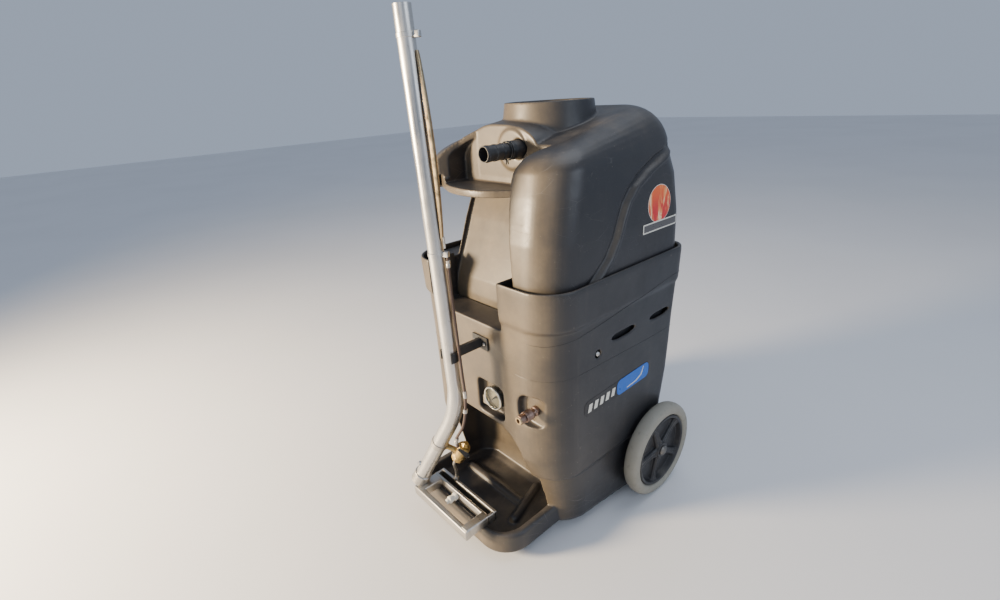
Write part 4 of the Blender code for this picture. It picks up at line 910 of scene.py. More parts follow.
# ---------------------------------------------------------------- machine body
def build_mouldings():
    lower = build_lower_shell()
    tank = build_tank_shell()
    lower_skin, tank_skin = surface_of(lower), surface_of(tank)

    def belt(angle):
        """The parting line: low across the front, rising along the sides."""
        turned = abs((angle + pi) % (2 * pi) - pi)
        return 0.536 + 0.052 * min(max((turned - 0.75) / 1.5, 0.0), 1.0) + 0.003 * sin(3 * angle)

    lines = [seam("belt_line", lower_skin, belt, 0.0008, (0.62, 2 * pi - 0.95)),
        seam("low_line", lower_skin, lambda a: 0.452 + 0.004 * sin(2 * a), 0.0005, (0.5, 2 * pi - 0.5))]
    put(merge("moulding_lines", *lines), ROOT, slot="body_plastic")
    sweep = [(0.088, 0.35), (0.122, 0.3535), (0.142, 0.362), (0.152, 0.38), (0.1545, 0.38), (0.146, 0.36),
             (0.125, 0.351), (0.089, 0.348)]
    stickers = [
        ("round_badge_%s", "tank", ellipse_plan(0.183, 0.771, 0.042, 0.04), SUN_PRINT, 0.0004, "red_plastic"),
        ("badge_rim_%s", "tank", ellipse_plan(0.183, 0.771, 0.0432, 0.0412), WHITE, 0.00015, "white_plastic"),
        ("badge_strip_%s", "tank", leaning_plan((0.122, 0.724), (0.254, 0.724), 0.021, 0.002),
         WHITE, 0.0008, "white_plastic"),
        ("badge_strip_inner_%s", "tank", leaning_plan((0.1255, 0.724), (0.2505, 0.724), 0.015, 0.001),
         GREY_PRINT, 0.0011, "dial_white"),
        ("long_badge_%s", ROOT, slanted((-0.066, 0.357), (0.179, 0.366), 0.041, 0.016),
         DARK_PRINT, 0.0003, "white_plastic"),
        ("long_badge_blue_%s", ROOT, slanted((0.05, 0.361), (0.175, 0.3655), 0.04, 0.014),
         BLUE_PRINT, 0.0007, "white_plastic"),
        ("long_badge_sweep_%s", ROOT, sweep, WHITE, 0.001, "white_plastic")]
    for k in range(5):
        left = -0.054 + 0.0205 * k
        foot = 0.3465 + 0.037 * (left + 0.062)
        bar = [(left, foot), (left + 0.0115, foot), (left + 0.0165, foot + 0.02),
            (left + 0.005, foot + 0.02)]
        stickers.append(("long_badge_bar_%s_" + str(k), ROOT, bar, WHITE, 0.0007, "white_plastic"))
    for side, word in reversed(SIDES):
        for name, body, plan, paint, lift, slot in stickers:
            skin = lower_skin if body == ROOT else tank_skin
            put(sticker(name % word, skin, side, plan, paint, lift), body, slot=slot)
    put(lower, ROOT, "lower_body", slot="body_plastic")
    put(tank, "tank", "recovery_tank", slot="body_plastic")


def slanted(start, end, height, radius, steps=6):
    """Rounded bar that climbs from one (y, z) to another, upright at its ends: the long badge."""
    (y0, z0), (y1, z1) = start, end
    slope = (z1 - z0) / (y1 - y0)
    flat = []
    for y, sign_y, first in ((y1 - radius, 1, -pi / 2), (y0 + radius, -1, pi / 2)):
        for quarter in (0, 1):
            rise = (height / 2 - radius) * (1 if (quarter == 1) == (sign_y > 0) else -1)
            for k in range(steps + 1):
                angle = first + pi / 2 * (quarter + k / steps)
                flat.append((y + radius * cos(angle), rise + radius * sin(angle)))
    return [(y, z0 + slope * (y - y0) + h) for y, h in flat]


def build_bolts():
    for side, word in SIDES:
        low, high = own_box("anchor_bolt_" + word)
        inner = Vector((low.x if side > 0 else high.x, (low.y + high.y) / 2, (low.z + high.z) / 2))
        reach = high.x - low.x
        head = lathe("anchor_screw_" + word, [(0, 0), (0.0062, 0), (0.0062, reach * 0.6),
            (0.005, reach * 0.88), (0.0024, reach * 0.98), (0, reach)], SMALL_STEEL, inner, (side, 0, 0),
            40, 0.0008)
        for turn in (0.3, 0.3 + pi / 2):
            across = Vector((0, cos(turn), sin(turn)))
            blade = capsule("cross", inner + Vector((side * (reach + 0.0002), 0, 0)) - across * 0.0026,
                inner + Vector((side * (reach + 0.0002), 0, 0)) + across * 0.0026, 0.0008, 1.0, 10)
            cut(head, blade)
        put(head, ROOT, "anchor_bolt_" + word, slot="stainless")


def build_wheel(side, word):
    centre = Vector((side * (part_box("tyre_right")[0].x + WHEEL_WIDTH / 2), AXLE_Y, AXLE.z))
    axis = Vector((side, 0, 0))
    body = "wheel_" + word
    half, r = WHEEL_WIDTH / 2, WHEEL_RADIUS
    profile = [(HUB_RADIUS + 0.0002, -half + 0.007), (HUB_RADIUS + 0.004, -half + 0.002),
        (HUB_RADIUS + 0.009, -half)]
    for k in range(13):
        angle = -pi / 2 + pi * k / 12
        profile.append((r - 0.0135 + 0.0135 * abs(cos(angle)) ** 0.8, half * 0.965 * sin(angle)))
    profile += [(HUB_RADIUS + 0.009, half), (HUB_RADIUS + 0.004, half - 0.002),
        (HUB_RADIUS + 0.0002, half - 0.007)]
    tyre = lathe("tyre_drawn_" + word, profile, TYRE, centre, axis, 128, 0.0, 60)
    ribs = [lathe("rib", [(r - 0.0168, h - 0.0007), (r - 0.0125, h), (r - 0.0168, h + 0.0007)], TYRE,
        centre, axis, 128) for h in (-half * 0.93, half * 0.93)]
    put(merge("tyre_round_" + word, tyre, *ribs), body, "tyre_" + word, slot="tyre")

    bore = 0.0082
    hub = lathe("hub_form", [(bore, -half - 0.0012), (0.0195, -half - 0.0012), (0.0205, -0.004),
        (0.083, -0.004), (0.0885, -half + 0.005), (HUB_RADIUS - 0.0002, -half + 0.005),
        (HUB_RADIUS - 0.0002, half - 0.004), (0.0945, half - 0.0025), (0.09, half - 0.004), (0.086, 0.002),
        (0.024, 0.002), (0.0212, half - 0.003), (bore, half - 0.003)], HUB, centre, axis, 128)
    turn_to = Matrix.Translation(centre)
    spokes = []
    for k in range(5):
        turn = turn_to @ Matrix.Rotation(2 * pi * k / 5 + radians(20), 4, "X")
        rings = []
        for z, w, high in ((0.016, 0.0145, 0.015), (0.034, 0.011, 0.0125), (0.062, 0.0095, 0.011),
                           (0.082, 0.0115, 0.0125), (0.092, 0.016, 0.015)):
            plan = ((-0.003, -w), (-0.003, w), (high - 0.004, w), (high, w * 0.55), (high - 0.0022, 0.0),
                    (high, -w * 0.55), (high - 0.004, -w))
            rings.append([turn @ Vector((side * x, y, z)) for x, y in plan])
        spokes.append(loft("spoke", rings))
    join(hub, *spokes)
    melted(hub, 0.0012, 5)
    hub.data.materials.clear()
    hub.data.materials.append(HUB)
    hub.name = "hub_round_" + word
    put(hub, body, "hub_" + word, slot="hub_plastic")
    cap_low, cap_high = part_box("axle_cap_" + word)
    tip = cap_high.x if side > 0 else -cap_low.x
    cap = lathe("cap_round_" + word, [(0, tip), (0.0035, tip - 0.0002), (0.008, tip - 0.0012),
        (0.0115, tip - 0.0034), (0.0135, tip - 0.005), (0.0135, tip - 0.0072), (0.0088, tip - 0.0072),
        (0.0088, tip - 0.003), (0, tip - 0.003)], DULL_STEEL, (0, AXLE_Y, AXLE.z), axis, 56)
    put(cap, ROOT, "axle_cap_" + word, slot="stainless")


def build_gauge():
    low, high = own_box("gauge_bezel")
    radius = (high.x - low.x) / 2
    centre = seat_of("gauge_bezel")
    back = seat_of("gauge_case").y
    axis = Vector((0, -1, 0))
    depth = back - centre.y
    case = lathe("gauge_case_round", [(0, 0), (radius - 0.004, 0), (radius - 0.0015, 0.003),
        (radius - 0.0015, depth), (radius - 0.0035, depth), (radius - 0.0035, 0.0095), (0, 0.0095)],
        SMALL_STEEL, (centre.x, back, centre.z), axis, 72, 0.001)
    put(case, ROOT, "gauge_case", slot="stainless")
    ring = lathe("gauge_bezel_round", [(radius - 0.0052, 0.0), (radius - 0.0008, 0.0), (radius, 0.0012),
        (radius, 0.0026), (radius - 0.0016, 0.0042), (radius - 0.004, 0.004), (radius - 0.0052, 0.0026)],
        CHROME, centre, axis, 72, 0.0004)
    put(ring, ROOT, "gauge_bezel", slot="chrome")
    face_y = own_box("gauge_dial")[0].y
    plate = lathe("dial_plate", drum(radius - 0.0041, 0, 0.0009), DIAL,
                  (centre.x, face_y + 0.0009, centre.z), axis, 72)
    marks = []
    for k in range(31):
        angle = radians(-135 + 9 * k)
        major = k % 5 == 0
        way = Vector((sin(angle), 0, cos(angle)))
        across = Vector((way.z, 0, -way.x)) * (0.0004 if major else 0.0002)
        a, b = way * (radius - (0.0095 if major else 0.0078)), way * (radius - 0.0056)
        at = Vector((centre.x, face_y, centre.z))
        ring_points = [at + a - across, at + a + across, at + b + across, at + b - across]
        marks.append(loft("tick", [[p + Vector((0, 0.0002, 0)) for p in ring_points],
            [p - Vector((0, 0.0002, 0)) for p in ring_points]], INK))
    put(merge("dial_printed", plate, *marks), ROOT, "gauge_dial", slot="dial_white")
    for k, number in enumerate(("0", "2", "4", "6", "8", "10", "12")):
        angle = radians(-135 + 45 * k)
        curve = bpy.data.curves.new("dial_number_%d" % k, "FONT")
        curve.body, curve.size, curve.align_x, curve.align_y = number, 0.0052, "CENTER", "CENTER"
        curve.extrude = 0.0001
        text = linked("number", curve)
        bpy.context.view_layer.update()
        mesh = bpy.data.meshes.new_from_object(text)
        bpy.data.objects.remove(text)
        mesh.materials.clear()
        mesh.materials.append(INK)
        digit = linked("dial_number_%d" % k, mesh)
        reach = radius - 0.0128
        place = Matrix.Translation((centre.x + reach * sin(angle), face_y - 0.0002, centre.z
            + reach * cos(angle)))
        mesh.transform(place @ Matrix.Rotation(pi / 2, 4, "X"))
        put(digit, ROOT, slot="dial_white")
    lens_y = own_box("gauge_lens")[1].y
    lens = lathe("lens_domed", [(0, 0), (radius - 0.0042, 0), (radius - 0.0042, 0.001),
        (radius * 0.5, 0.0022), (0, 0.0026)], LENS, (centre.x, lens_y, centre.z), axis, 72, 0.0)
    put(lens, ROOT, "gauge_lens", slot="clear")
    pivot = Vector((centre.x, face_y - 0.0012, centre.z))
    boss = lathe("needle_boss", [(0, 0), (0.003, 0), (0.003, 0.0008), (0.002, 0.0014), (0, 0.0014)], INK,
        pivot, axis, 32)
    put(boss, "needle", slot="black_steel")


def build_coupler():
    low, high = own_box("quick_coupler")
    seat = seat_of("quick_coupler")
    length = high.y - low.y
    axis = Vector((0, -1, 0))
    body = lathe("coupler_round", [(0.0042, 0), (0.0108, 0), (0.0113, 0.0008), (0.0113, 0.0075),
        (0.0086, 0.0098), (0.0086, 0.0392), (0.01, 0.0404), (0.01, length - 0.004),
        (0.0092, length - 0.0034), (0.0042, length - 0.0034)], OLD_BRASS, seat, axis, 64, 0.0005)
    tip = lathe("tip", [(0.0046, length - 0.0036), (0.0092, length - 0.0036), (0.0094, length - 0.001),
        (0.0086, length), (0.0052, length), (0.0046, length - 0.0012)], BRONZE, seat, axis, 64)
    put(merge("coupler_body", body, tip), ROOT, "quick_coupler", slot="brass")
    rows = [(0.0089, 0.0167), (0.0116, 0.0167), (0.0122, 0.018)]
    for z in (0.02, 0.033):
        rows += [(0.0124, z), (0.0124, z + 0.0012), (0.012, z + 0.0018)]
    rows += [(0.0123, 0.0352), (0.0116, 0.0376), (0.0089, 0.0378)]
    put(lathe("sleeve_ribbed", rows, OLD_BRASS, seat, axis, 64), "sleeve", "coupler_sleeve", slot="brass")


# ---------------------------------------------------------------- fittings of the recovery tank
def build_hose_fitting():
    root = Vector((BARB.x, BARB_HIGH.y - BACK, BARB.z))
    length = BARB_HIGH.y - BARB_LOW.y
    mouth, bore = 0.0162, 0.0134
    rows = [(bore, 0.0), (0.019, 0.0), (0.019, 0.029), (mouth, 0.034)]
    for k in range(3):
        start = 0.044 + 0.02 * k
        rows += [(mouth - 0.0006, start), (mouth + 0.0006, start + 0.015), (mouth - 0.0006, start + 0.017)]
    rows += [(mouth, length - 0.003), (mouth - 0.0006, length), (bore + 0.0006, length),
        (bore, length - 0.002)]
    put(lathe("barb_moulded", rows, HUB, root, (0, -1, 0), 72, 0.0003), "tank", "hose_barb",
        slot="hub_plastic")
    rings = []
    for turn in range(2):
        y = -0.079 - 0.0052 * turn
        ring = []
        for k in range(65):
            angle = radians(-95 + 12 * turn) + 2 * pi * 0.97 * k / 64
            ring.append(Vector((BARB.x + 0.0182 * cos(angle), y - 0.0014 * k / 64,
                BARB.z + 0.0182 * sin(angle))))
        for end, nearby in ((ring[0], ring[1]), (ring[-1], ring[-2])):
            away = (end - Vector((BARB.x, end.y, BARB.z))).normalized()
            tail = [end + (end - nearby).normalized() * 0.001 + away * 0.003, end + away * 0.0085]
            ring = [tail[1], tail[0]] + ring if end is ring[0] else ring + tail
        rings.append(rod("wire", ring, 0.0013, BLACK_STEEL, 12))
    put(merge("clamp_wire", *rings), "tank", "hose_clamp", slot="stainless")


# ---------------------------------------------------------------- wand
WAND_TOP = Vector((0.0185, -0.2775, 1.158))
WAND_LOW = Vector((0.017, -0.255, 0.432))
LEG_END = Vector((-0.112, -0.3061, 0.106))
VALVE_AT = Vector((-0.004, -0.243, 0.218))
ROD_OFFSET = Vector((0.0235, 0.01, 0.0))
UP = (WAND_TOP - WAND_LOW).normalized()
WAND_RADIUS, LEG_RADIUS = 0.016, 0.019
HEAD_UNDER_Z, HEAD_TOP_Z = 0.0784, 0.1044
BEND_Z = 0.356


def tube_point(z):
    """The upper tube's axis at a height."""
    return WAND_LOW.lerp(WAND_TOP, (z - WAND_LOW.z) / (WAND_TOP.z - WAND_LOW.z))


BEND = tube_point(BEND_Z)
DOWN = (LEG_END - BEND).normalized()


def build_wand_tubes():
    count = 60
    path = [tube_point(0.43).lerp(WAND_TOP, k / count) for k in range(count + 1)]
    tube = pipe("tube", path, WAND_RADIUS, 0.0016, TUBE_STEEL, 72)
    lip = lathe("lip", [(WAND_RADIUS - 0.0018, -0.0022), (WAND_RADIUS + 0.0001, -0.0022),
                        (WAND_RADIUS + 0.0001, -0.0008), (WAND_RADIUS - 0.0008, 0.0),
                        (WAND_RADIUS - 0.0018, -0.0004)], TUBE_STEEL, WAND_TOP, UP, 72)
    put(merge("wand_tube_drawn", tube, lip), "wand", "wand_tube", slot="stainless")

    a, b = BEND + UP * 0.055, BEND + DOWN * 0.062
    path = [tube_point(0.43).lerp(a, k / 4) for k in range(4)]
    path += [(1 - s) ** 2 * a + 2 * s * (1 - s) * BEND + s ** 2 * b for s in (k / 20 for k in range(21))]
    stop = LEG_END - DOWN * 0.012
    path += [b.lerp(stop, k / 24) for k in range(1, 25)]

    def swell(share):
        grown = min(max((share - 0.02) / 0.22, 0.0), 1.0)
        return WAND_RADIUS + (LEG_RADIUS - WAND_RADIUS) * grown * grown * (3 - 2 * grown)

    outer, inner = rings_along(path, swell, 72), rings_along(path, lambda s: swell(s) - 0.0018, 72)
    leg = loft("leg", outer + inner[::-1], TUBE_STEEL, True)
    dome = [(0.0, 0.0105)] + [(LEG_RADIUS * sin(t), 0.0105 * cos(t))
        for t in (pi / 2 * k / 8 for k in range(1, 9))]
    dome += [(LEG_RADIUS, -0.006), (LEG_RADIUS - 0.003, -0.006), (0, -0.005)]
    cap = lathe("cap", dome, TUBE_STEEL, stop, DOWN, 64)
    spot = LEG_END - DOWN * 0.075
    facing = Vector((-0.646, -0.763, 0.0))
    nut = lathe("nut", [(0, LEG_RADIUS - 0.002), (0.0062, LEG_RADIUS - 0.002),
        (0.0062, LEG_RADIUS + 0.0045), (0.0052, LEG_RADIUS + 0.0055), (0, LEG_RADIUS + 0.0055)],
        SMALL_STEEL, spot, facing, 6)
    stud = lathe("stud", [(0, LEG_RADIUS + 0.005), (0.003, LEG_RADIUS + 0.005), (0.003, LEG_RADIUS + 0.008),
        (0.002, LEG_RADIUS + 0.0086), (0, LEG_RADIUS + 0.0086)], SMALL_STEEL, spot, facing, 24)
    put(merge("wand_leg_drawn", leg, cap, nut, stud), "wand", "wand_leg", slot="stainless")


def build_wand_head():
    low, high = own_box("wand_head")
    x0, x1, y0, y1 = -0.106, high.x, low.y, high.y
    z0, z1 = HEAD_UNDER_Z, HEAD_TOP_Z
    pieces = [block(name, near, far, HEAD_STEEL, bevel, steps) for name, near, far, bevel, steps in (
        ("front_bar", (x0, y0, z0), (x1, y0 + 0.0135, z1 - 0.0008), 0.0022, 3),
        ("front_lip", (x0 + 0.002, y0 + 0.0005, z0), (x1 - 0.002, y0 + 0.022, z0 + 0.0042), 0.0012, 3),
        ("lip_front", (x0, y1 - 0.03, z0), (x1, y1 - 0.0225, z1), 0.0016, 3),
        ("lip_back", (x0, y1 - 0.0078, z0), (x1, y1, z1), 0.0016, 3),
        ("mouth_left", (x0, y1 - 0.029, z0 + 0.0005), (x0 + 0.007, y1 - 0.001, z1 - 0.0005), 0.0016, 3),
        ("mouth_right", (x1 - 0.007, y1 - 0.029, z0 + 0.0005), (x1, y1 - 0.001, z1 - 0.0005), 0.0016, 3),
        ("end_right", (x1 - 0.0235, y0 + 0.003, z0 + 0.0004), (x1 - 0.0004, y1 - 0.0245, z1 + 0.0002),
         0.0034, 4),
        ("end_left", (x0 + 0.0004, y0 + 0.003, z0 + 0.0004), (x0 + 0.03, y1 - 0.0245, z1 - 0.0004),
         0.003, 4))]
    pieces.append(lathe("collar", [(LEG_RADIUS + 0.0003, -0.036), (LEG_RADIUS + 0.0028, -0.034),
        (LEG_RADIUS + 0.0032, -0.014), (LEG_RADIUS + 0.004, -0.006), (LEG_RADIUS + 0.0003, -0.004)],
        HEAD_STEEL, LEG_END, DOWN, 64, 0.0006))
    for k in range(17):
        x = x0 + 0.046 + k * (x1 - x0 - 0.075) / 16
        pieces.append(lathe("bead", [(0, 0), (0.0012, 0.0001), (0.0016, 0.0006), (0.001, 0.001),
            (0, 0.0011)], HEAD_STEEL, (x, y1 - 0.0262, z1 - 0.0002), (0, 0, 1), 12))
    for x in (x0 + 0.03, x1 - 0.012):
        pieces.append(lathe("screw", [(0, 0), (0.0042, 0), (0.0042, 0.001), (0.003, 0.0024), (0, 0.0028)],
            SMALL_STEEL, (x, y0 + 0.0029, (z0 + z1) / 2), (0, -1, 0), 32))
    put(merge("head_fabricated", *pieces), "wand", "wand_head", slot="stainless")
    start = seat_of("spray_jet")
    reach = start.y - own_box("spray_jet")[0].y
    nozzle = lathe("nozzle", [(0, 0), (0.0078, 0), (0.0078, 0.016), (0.009, 0.017), (0.009, 0.0225),
        (0.0066, 0.024), (0.006, reach - 0.001), (0.003, reach), (0, reach - 0.0015)], WHITE, start,
        (0, -1, 0), 48, 0.0006)
    nut = lathe("nut", [(0, 0), (0.01, 0), (0.0106, 0.001), (0.0106, 0.007), (0.01, 0.008), (0, 0.008)],
        WHITE, start, (0, -1, 0), 6)
    put(merge("jet_moulded", nozzle, nut), "wand", "spray_jet", slot="white_plastic")


def build_valve():
    root = LEG_END + DOWN * DOWN.dot(VALVE_AT - LEG_END)
    arm = (VALVE_AT - root).normalized()
    reach = (VALVE_AT - root).length
    body = lathe("body", [(0, -0.025), (0.0135, -0.025), (0.015, -0.0235), (0.015, -0.0215),
        (0.0165, -0.02), (0.0165, 0.006), (0.0156, 0.007), (0.0165, 0.008), (0.0165, 0.022), (0.014, 0.025),
        (0, 0.025)], BRASS, VALVE_AT, DOWN, 64, 0.0008)
    flats = lathe("flats", [(0, 0.0095), (0.0172, 0.0095), (0.0176, 0.0105), (0.0176, 0.0195),
        (0.0172, 0.0205), (0, 0.0205)], BRASS, VALVE_AT, DOWN, 8)
    neck = lathe("neck", [(0, -0.036), (0.0058, -0.036), (0.0065, -0.035), (0.0065, -0.024), (0, -0.024)],
        BRASS, VALVE_AT, DOWN, 40)
    top_nut = lathe("top_nut", [(0, -0.0335), (0.009, -0.0335), (0.0095, -0.0325), (0.0095, -0.0262),
        (0, -0.0262)], BRASS, VALVE_AT, DOWN, 6)
    post = lathe("post", [(0, LEG_RADIUS + 0.0003), (0.0085, LEG_RADIUS + 0.0003),
        (0.0085, LEG_RADIUS + 0.002), (0.0068, LEG_RADIUS + 0.003), (0.0068, reach), (0, reach)], BRASS,
        root, arm, 40)
    strap = lathe("strap", [(LEG_RADIUS + 0.0002, -0.007), (LEG_RADIUS + 0.0014, -0.007),
        (LEG_RADIUS + 0.0014, 0.007), (LEG_RADIUS + 0.0002, 0.007)], HEAD_STEEL, root, DOWN, 64)
    put(merge("valve_turned", body, flats, neck, top_nut, post, strap), "wand", "spray_valve", slot="brass")
    foot = VALVE_AT + DOWN * 0.0262
    landing = Vector((foot.x - 0.03, seat_of("wand_head").y - 0.004, HEAD_TOP_Z + 0.0004))
    line = smooth_path([foot, foot + DOWN * 0.022, landing + Vector((0.004, 0, 0.03)), landing], 10)
    feed = rod("feed", line, 0.004, HEAD_STEEL, 28)
    top = lathe("top", [(0, -0.0004), (0.0066, -0.0004), (0.0072, 0.0008), (0.0072, 0.008), (0.006, 0.0095),
                        (0, 0.0095)], BRASS, foot, DOWN, 6)
    end = lathe("end", [(0, 0), (0.007, 0), (0.0076, 0.001), (0.0076, 0.0075), (0.0066, 0.009), (0, 0.009)],
        HEAD_STEEL, landing, (0, 0, 1), 6)
    put(merge("jet_line", feed, top, end), "wand", "jet_pipe", slot="brass")


def build_pull_rod():
    """Bowed channel-section pull handle, its two lugs, and the control cable."""
    away = ROD_OFFSET.normalized()
    across = UP.cross(away)
    section = ((-0.0062, 0.0), (-0.0063, 0.004), (-0.0058, 0.0068), (-0.0046, 0.0078), (0.0046, 0.0078),
        (0.0058, 0.0068), (0.0063, 0.004), (0.0062, 0.0), (0.0048, 0.0), (0.0047, 0.0056), (0.0, 0.0062),
        (-0.0047, 0.0056), (-0.0048, 0.0))
    rings, count = [], 48
    for k in range(count + 1):
        share = k / count
        lift = WAND_RADIUS + 0.001 + 0.0046 * sin(pi * share)
        pinch = 0.42 + 0.38 * sin(pi * share) ** 0.5
        rings.append([tube_point(0.755 + 0.333 * share) + across * (t * pinch) + away * (lift + n * pinch)
                      for t, n in section])
    handle = loft("channel", rings, BRONZE)
    low = away * (WAND_RADIUS + 0.006)
    stub = rod("stub", [tube_point(0.7405) + low, tube_point(0.763) + low], 0.0024, SMALL_STEEL, 20)
    put(merge("pull_handle", handle, stub), "trigger", "trigger_rod", slot="brass")
    turn = atan2(ROD_OFFSET.y, ROD_OFFSET.x)
    for name, node, z, reach in (("top_lug", "rod_guide", 1.112, 0.0285),
            ("stop_lug", "cable_stop", 0.728, 0.029)):
        centre = tube_point(z)
        lug = block("lug", (WAND_RADIUS + 0.0003, -0.0048, -0.0058), (reach, 0.0048, 0.0058), SMALL_STEEL,
            0.0018, 4)
        lug.data.transform(Matrix.Translation(centre) @ Matrix.Rotation(turn, 4, "Z"))
        strap = lathe("strap", [(WAND_RADIUS + 0.0002, -0.004), (WAND_RADIUS + 0.0009, -0.0034),
            (WAND_RADIUS + 0.0009, 0.0034), (WAND_RADIUS + 0.0002, 0.004)], TUBE_STEEL, centre, UP, 64)
        put(merge(name, lug, strap), "wand", node, slot="stainless")
    route = [tube_point(0.7212) + ROD_OFFSET, tube_point(0.66) + ROD_OFFSET * 0.92,
             tube_point(0.56) + ROD_OFFSET * 0.92, tube_point(0.47) + Vector((0.03, 0.004, 0)),
             Vector((0.05, -0.252, 0.395)), Vector((0.048, -0.262, 0.335)),
             VALVE_AT + Vector((0.033, -0.028, 0.075)), VALVE_AT + Vector((0.0277, -0.0255, 0.045))]
    line = smooth_path(route, 12)
    pieces = [rod("sheath", line, 0.0033, CABLE, 24)]
    for index, length, radius in ((1, 0.016, 0.0046), (44, 0.018, 0.0047), (52, 0.01, 0.0054),
            (72, 0.018, 0.0048)):
        way = (line[index + 1] - line[index]).normalized()
        pieces.append(lathe("ferrule", [(0.003, 0), (radius, 0.0008), (radius, length * 0.35),
            (radius - 0.0007, length * 0.42), (radius, length * 0.5), (radius, length - 0.0008),
            (0.003, length)], HEAD_STEEL, line[index], way, 32))
    put(merge("control_cable", *pieces), "wand", "cable_sheath", slot="black_rubber")


# ---------------------------------------------------------------- rear and carried-over pieces
def build_rear():
    low, high = own_box("switch_panel")
    for k, (x, z) in enumerate(((low.x + 0.007, low.z + 0.007), (high.x - 0.007, low.z + 0.007),
            (low.x + 0.007, high.z - 0.007), (high.x - 0.007, high.z - 0.007))):
        screw = lathe("panel_screw_%d" % (k + 1), [(0, 0), (0.0038, 0), (0.0038, 0.0008), (0.0026, 0.002),
            (0, 0.0023)], SMALL_STEEL, (x, high.y + 0.0001, z), (0, 1, 0), 32)
        put(screw, ROOT, slot="stainless")
    for node in ("power_inlet_left", "power_inlet_right"):
        centre = seat_of(node)
        seat = centre.y - 0.0085
        shell = lathe(node + "_shell", [(0, -0.01), (0.0118, -0.01), (0.0118, 0.0028), (0.0165, 0.0028),
            (0.0165, 0.0058), (0.0145, 0.0085), (0.0105, 0.0085), (0.0105, -0.004), (0, -0.004)], HUB,
            (centre.x, seat, centre.z), (0, 1, 0), 64, 0.0006)
        pieces = [shell]
        for turn in (90, 210, 330):
            x, z = centre.x + 0.0052 * cos(radians(turn)), centre.z + 0.0052 * sin(radians(turn))
            pieces.append(block("blade", (x - 0.0008, seat - 0.005, z - 0.0024),
                (x + 0.0008, seat + 0.005, z + 0.0024), BRASS, 0.0003))
        put(merge(node + "_drawn", *pieces), ROOT, node, slot="hub_plastic")
    low, high = own_box("drain_valve")
    at = Vector(((low.x + high.x) / 2, low.y + 0.022, DRAIN_Z))
    tap = lathe("tap", [(0.0045, -0.022), (0.0085, -0.022), (0.0085, 0.0035), (0.013, 0.0035),
        (0.013, 0.01), (0.0105, 0.012), (0.0105, 0.016), (0.009, 0.018), (0.009, 0.0225), (0.0105, 0.0245),
        (0.0105, 0.042), (0.009, 0.044), (0.009, 0.056), (0.008, 0.0562), (0.0045, 0.056)], BRASS, at,
        (0, 1, 0), 56, 0.0005)
    stem = lathe("stem", [(0, 0.009), (0.0048, 0.009), (0.0048, 0.0135), (0.0038, 0.014), (0.0038, 0.0165),
        (0, 0.0165)], BRASS, at + Vector((0, 0.027, 0)), (0, 0, 1), 32)
    put(merge("tap_drawn", tap, stem), ROOT, "drain_valve", slot="brass")


def dress(node, material, bevel=0.0):
    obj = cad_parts[node]
    obj.data.materials.clear()
    obj.data.materials.append(material)
    if bevel:
        edge = obj.modifiers.new("edge", "BEVEL")
        edge.width, edge.segments, edge.limit_method, edge.angle_limit = bevel, 2, "ANGLE", radians(35)
        edge.harden_normals = True


def dress_frame():
    for node, material, bevel in (("base_plate", ALUMINIUM, 0.0005), ("foot_left", RUBBER, 0.0),
            ("foot_right", RUBBER, 0.0), ("axle", SMALL_STEEL, 0.0),
            ("vacuum_motor_left", ALUMINIUM, 0.0006), ("vacuum_motor_right", ALUMINIUM, 0.0006),
            ("pump_motor", BLACK_STEEL, 0.0), ("pump_head", BRASS, 0.0), ("heater", SMALL_STEEL, 0.0),
            ("vacuum_duct", DUCT_PE, 0.0), ("pump_hose", RUBBER, 0.0), ("switch_panel", ALUMINIUM, 0.0),
            ("pump_switch_frame", HUB, 0.0005), ("vacuum_switch_left_frame", HUB, 0.0005),
            ("vacuum_switch_right_frame", HUB, 0.0005), ("pump_switch", RED, 0.0007),
            ("vacuum_switch_left", HUB, 0.0007), ("vacuum_switch_right", HUB, 0.0007),
            ("drain_lever", RED, 0.0006), ("gauge_bracket", BRACKET, 0.0004), ("gauge_needle", INK, 0.0),
            ("wand_clip", BLACK_STEEL, 0.0005), ("clip_screw_1", SMALL_STEEL, 0.0004),
            ("clip_screw_2", SMALL_STEEL, 0.0004), ("valve_lever", BLACK_STEEL, 0.0005),
            ("standpipe", HUB, 0.0), ("float_cage", WHITE, 0.0004), ("float_ball", RED, 0.0)):
        dress(node, material, bevel)


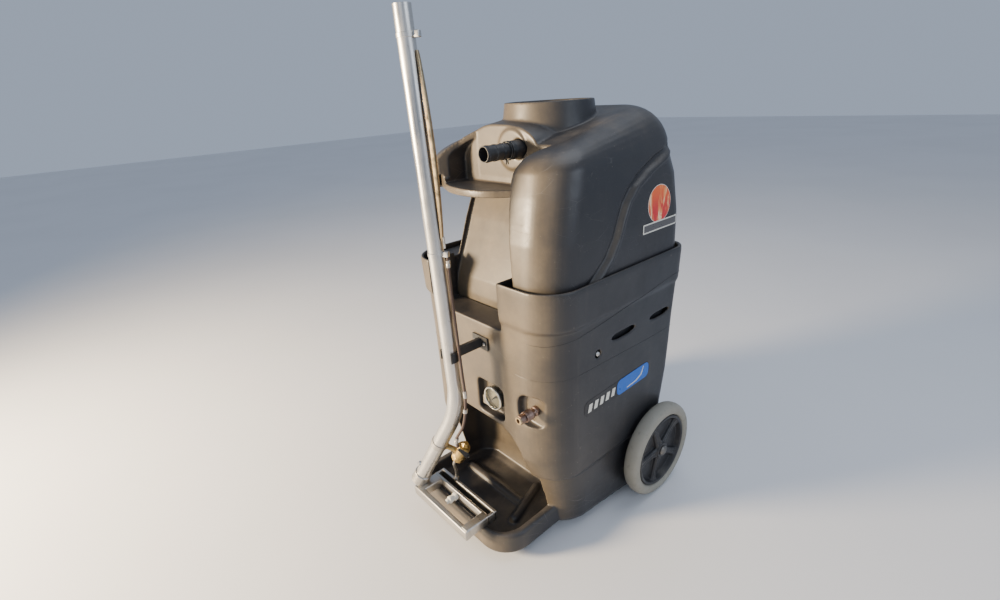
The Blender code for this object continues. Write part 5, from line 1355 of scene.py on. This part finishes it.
# ---------------------------------------------------------------- stage
def build_stage():
    bm = bmesh.new()
    bmesh.ops.create_grid(bm, x_segments=8, y_segments=8, size=14.0)
    mesh = bpy.data.meshes.new("floor")
    bm.to_mesh(mesh)
    bm.free()
    s = Shader("floor_pale", (0.74, 0.74, 0.75), 0.55)
    s.tint(s.span(s.noise(0.8, 4.0), 0.35, 0.7, 0.0, 0.5), (0.68, 0.68, 0.69))
    s.bump(s.noise(30.0, 3.0), 0.03, 0.002)
    mesh.materials.append(s.done())
    linked("floor", mesh)

    world = bpy.data.worlds.new("studio")
    world.use_nodes = True
    world.node_tree.nodes["Background"].inputs["Color"].default_value = (0.56, 0.66, 0.84, 1.0)
    world.node_tree.nodes["Background"].inputs["Strength"].default_value = 0.62
    bpy.context.scene.world = world
    for name, at, size, power, colour in (
            ("key", (-1.3, -2.4, 0.95), 0.6, 300.0, (1.0, 0.8, 0.54)),
            ("front_fill", (1.6, -2.4, 2.2), 2.2, 14.0, (0.86, 0.92, 1.0)),
            ("side_fill", (3.2, 0.6, 1.6), 2.0, 26.0, (0.8, 0.88, 1.0)),
            ("top", (0.3, 0.8, 3.4), 2.4, 34.0, (0.92, 0.95, 1.0))):
        light = bpy.data.lights.new(name, "AREA")
        light.shape, light.size, light.energy, light.color = "DISK", size, power, colour
        lamp = linked(name, light)
        lamp.location = at
        lamp.rotation_euler = (Vector((0, 0, 0.55)) - Vector(at)).to_track_quat("-Z", "Y").to_euler()


CAMERA_PLACE = Vector((0.8271, -0.7918, 1.0141))
CAMERA_TURN, CAMERA_DOWN, CAMERA_ROLL = 49.7654, 22.3433, -3.6799
CAMERA_LENS, CAMERA_SENSOR = 18.148, 36.0


def build_camera():
    """Stands to the machine's right front, a little above its top, looking down."""
    turn, down, roll = radians(CAMERA_TURN), radians(CAMERA_DOWN), radians(CAMERA_ROLL)
    forward = Vector((-sin(turn) * cos(down), cos(turn) * cos(down), -sin(down)))
    level = Vector((cos(turn), sin(turn), 0.0))
    rise = Vector((-sin(turn) * sin(down), cos(turn) * sin(down), cos(down)))
    across = level * cos(roll) + rise * sin(roll)
    upward = -level * sin(roll) + rise * cos(roll)
    camera = linked("camera", bpy.data.cameras.new("camera"))
    camera.data.sensor_width, camera.data.lens = CAMERA_SENSOR, CAMERA_LENS
    facing = Matrix((across, upward, -forward)).transposed().to_4x4()
    camera.matrix_world = Matrix.Translation(CAMERA_PLACE + Vector((0.0, BACK, 0.0))) @ facing
    bpy.context.scene.camera = camera


build_mouldings()
build_bolts()
for wheel_side, wheel_word in SIDES:
    build_wheel(wheel_side, wheel_word)
build_gauge()
build_coupler()
build_hose_fitting()
build_wand_tubes()
build_wand_head()
build_valve()
build_pull_rod()
build_rear()
dress_frame()
build_stage()
build_camera()
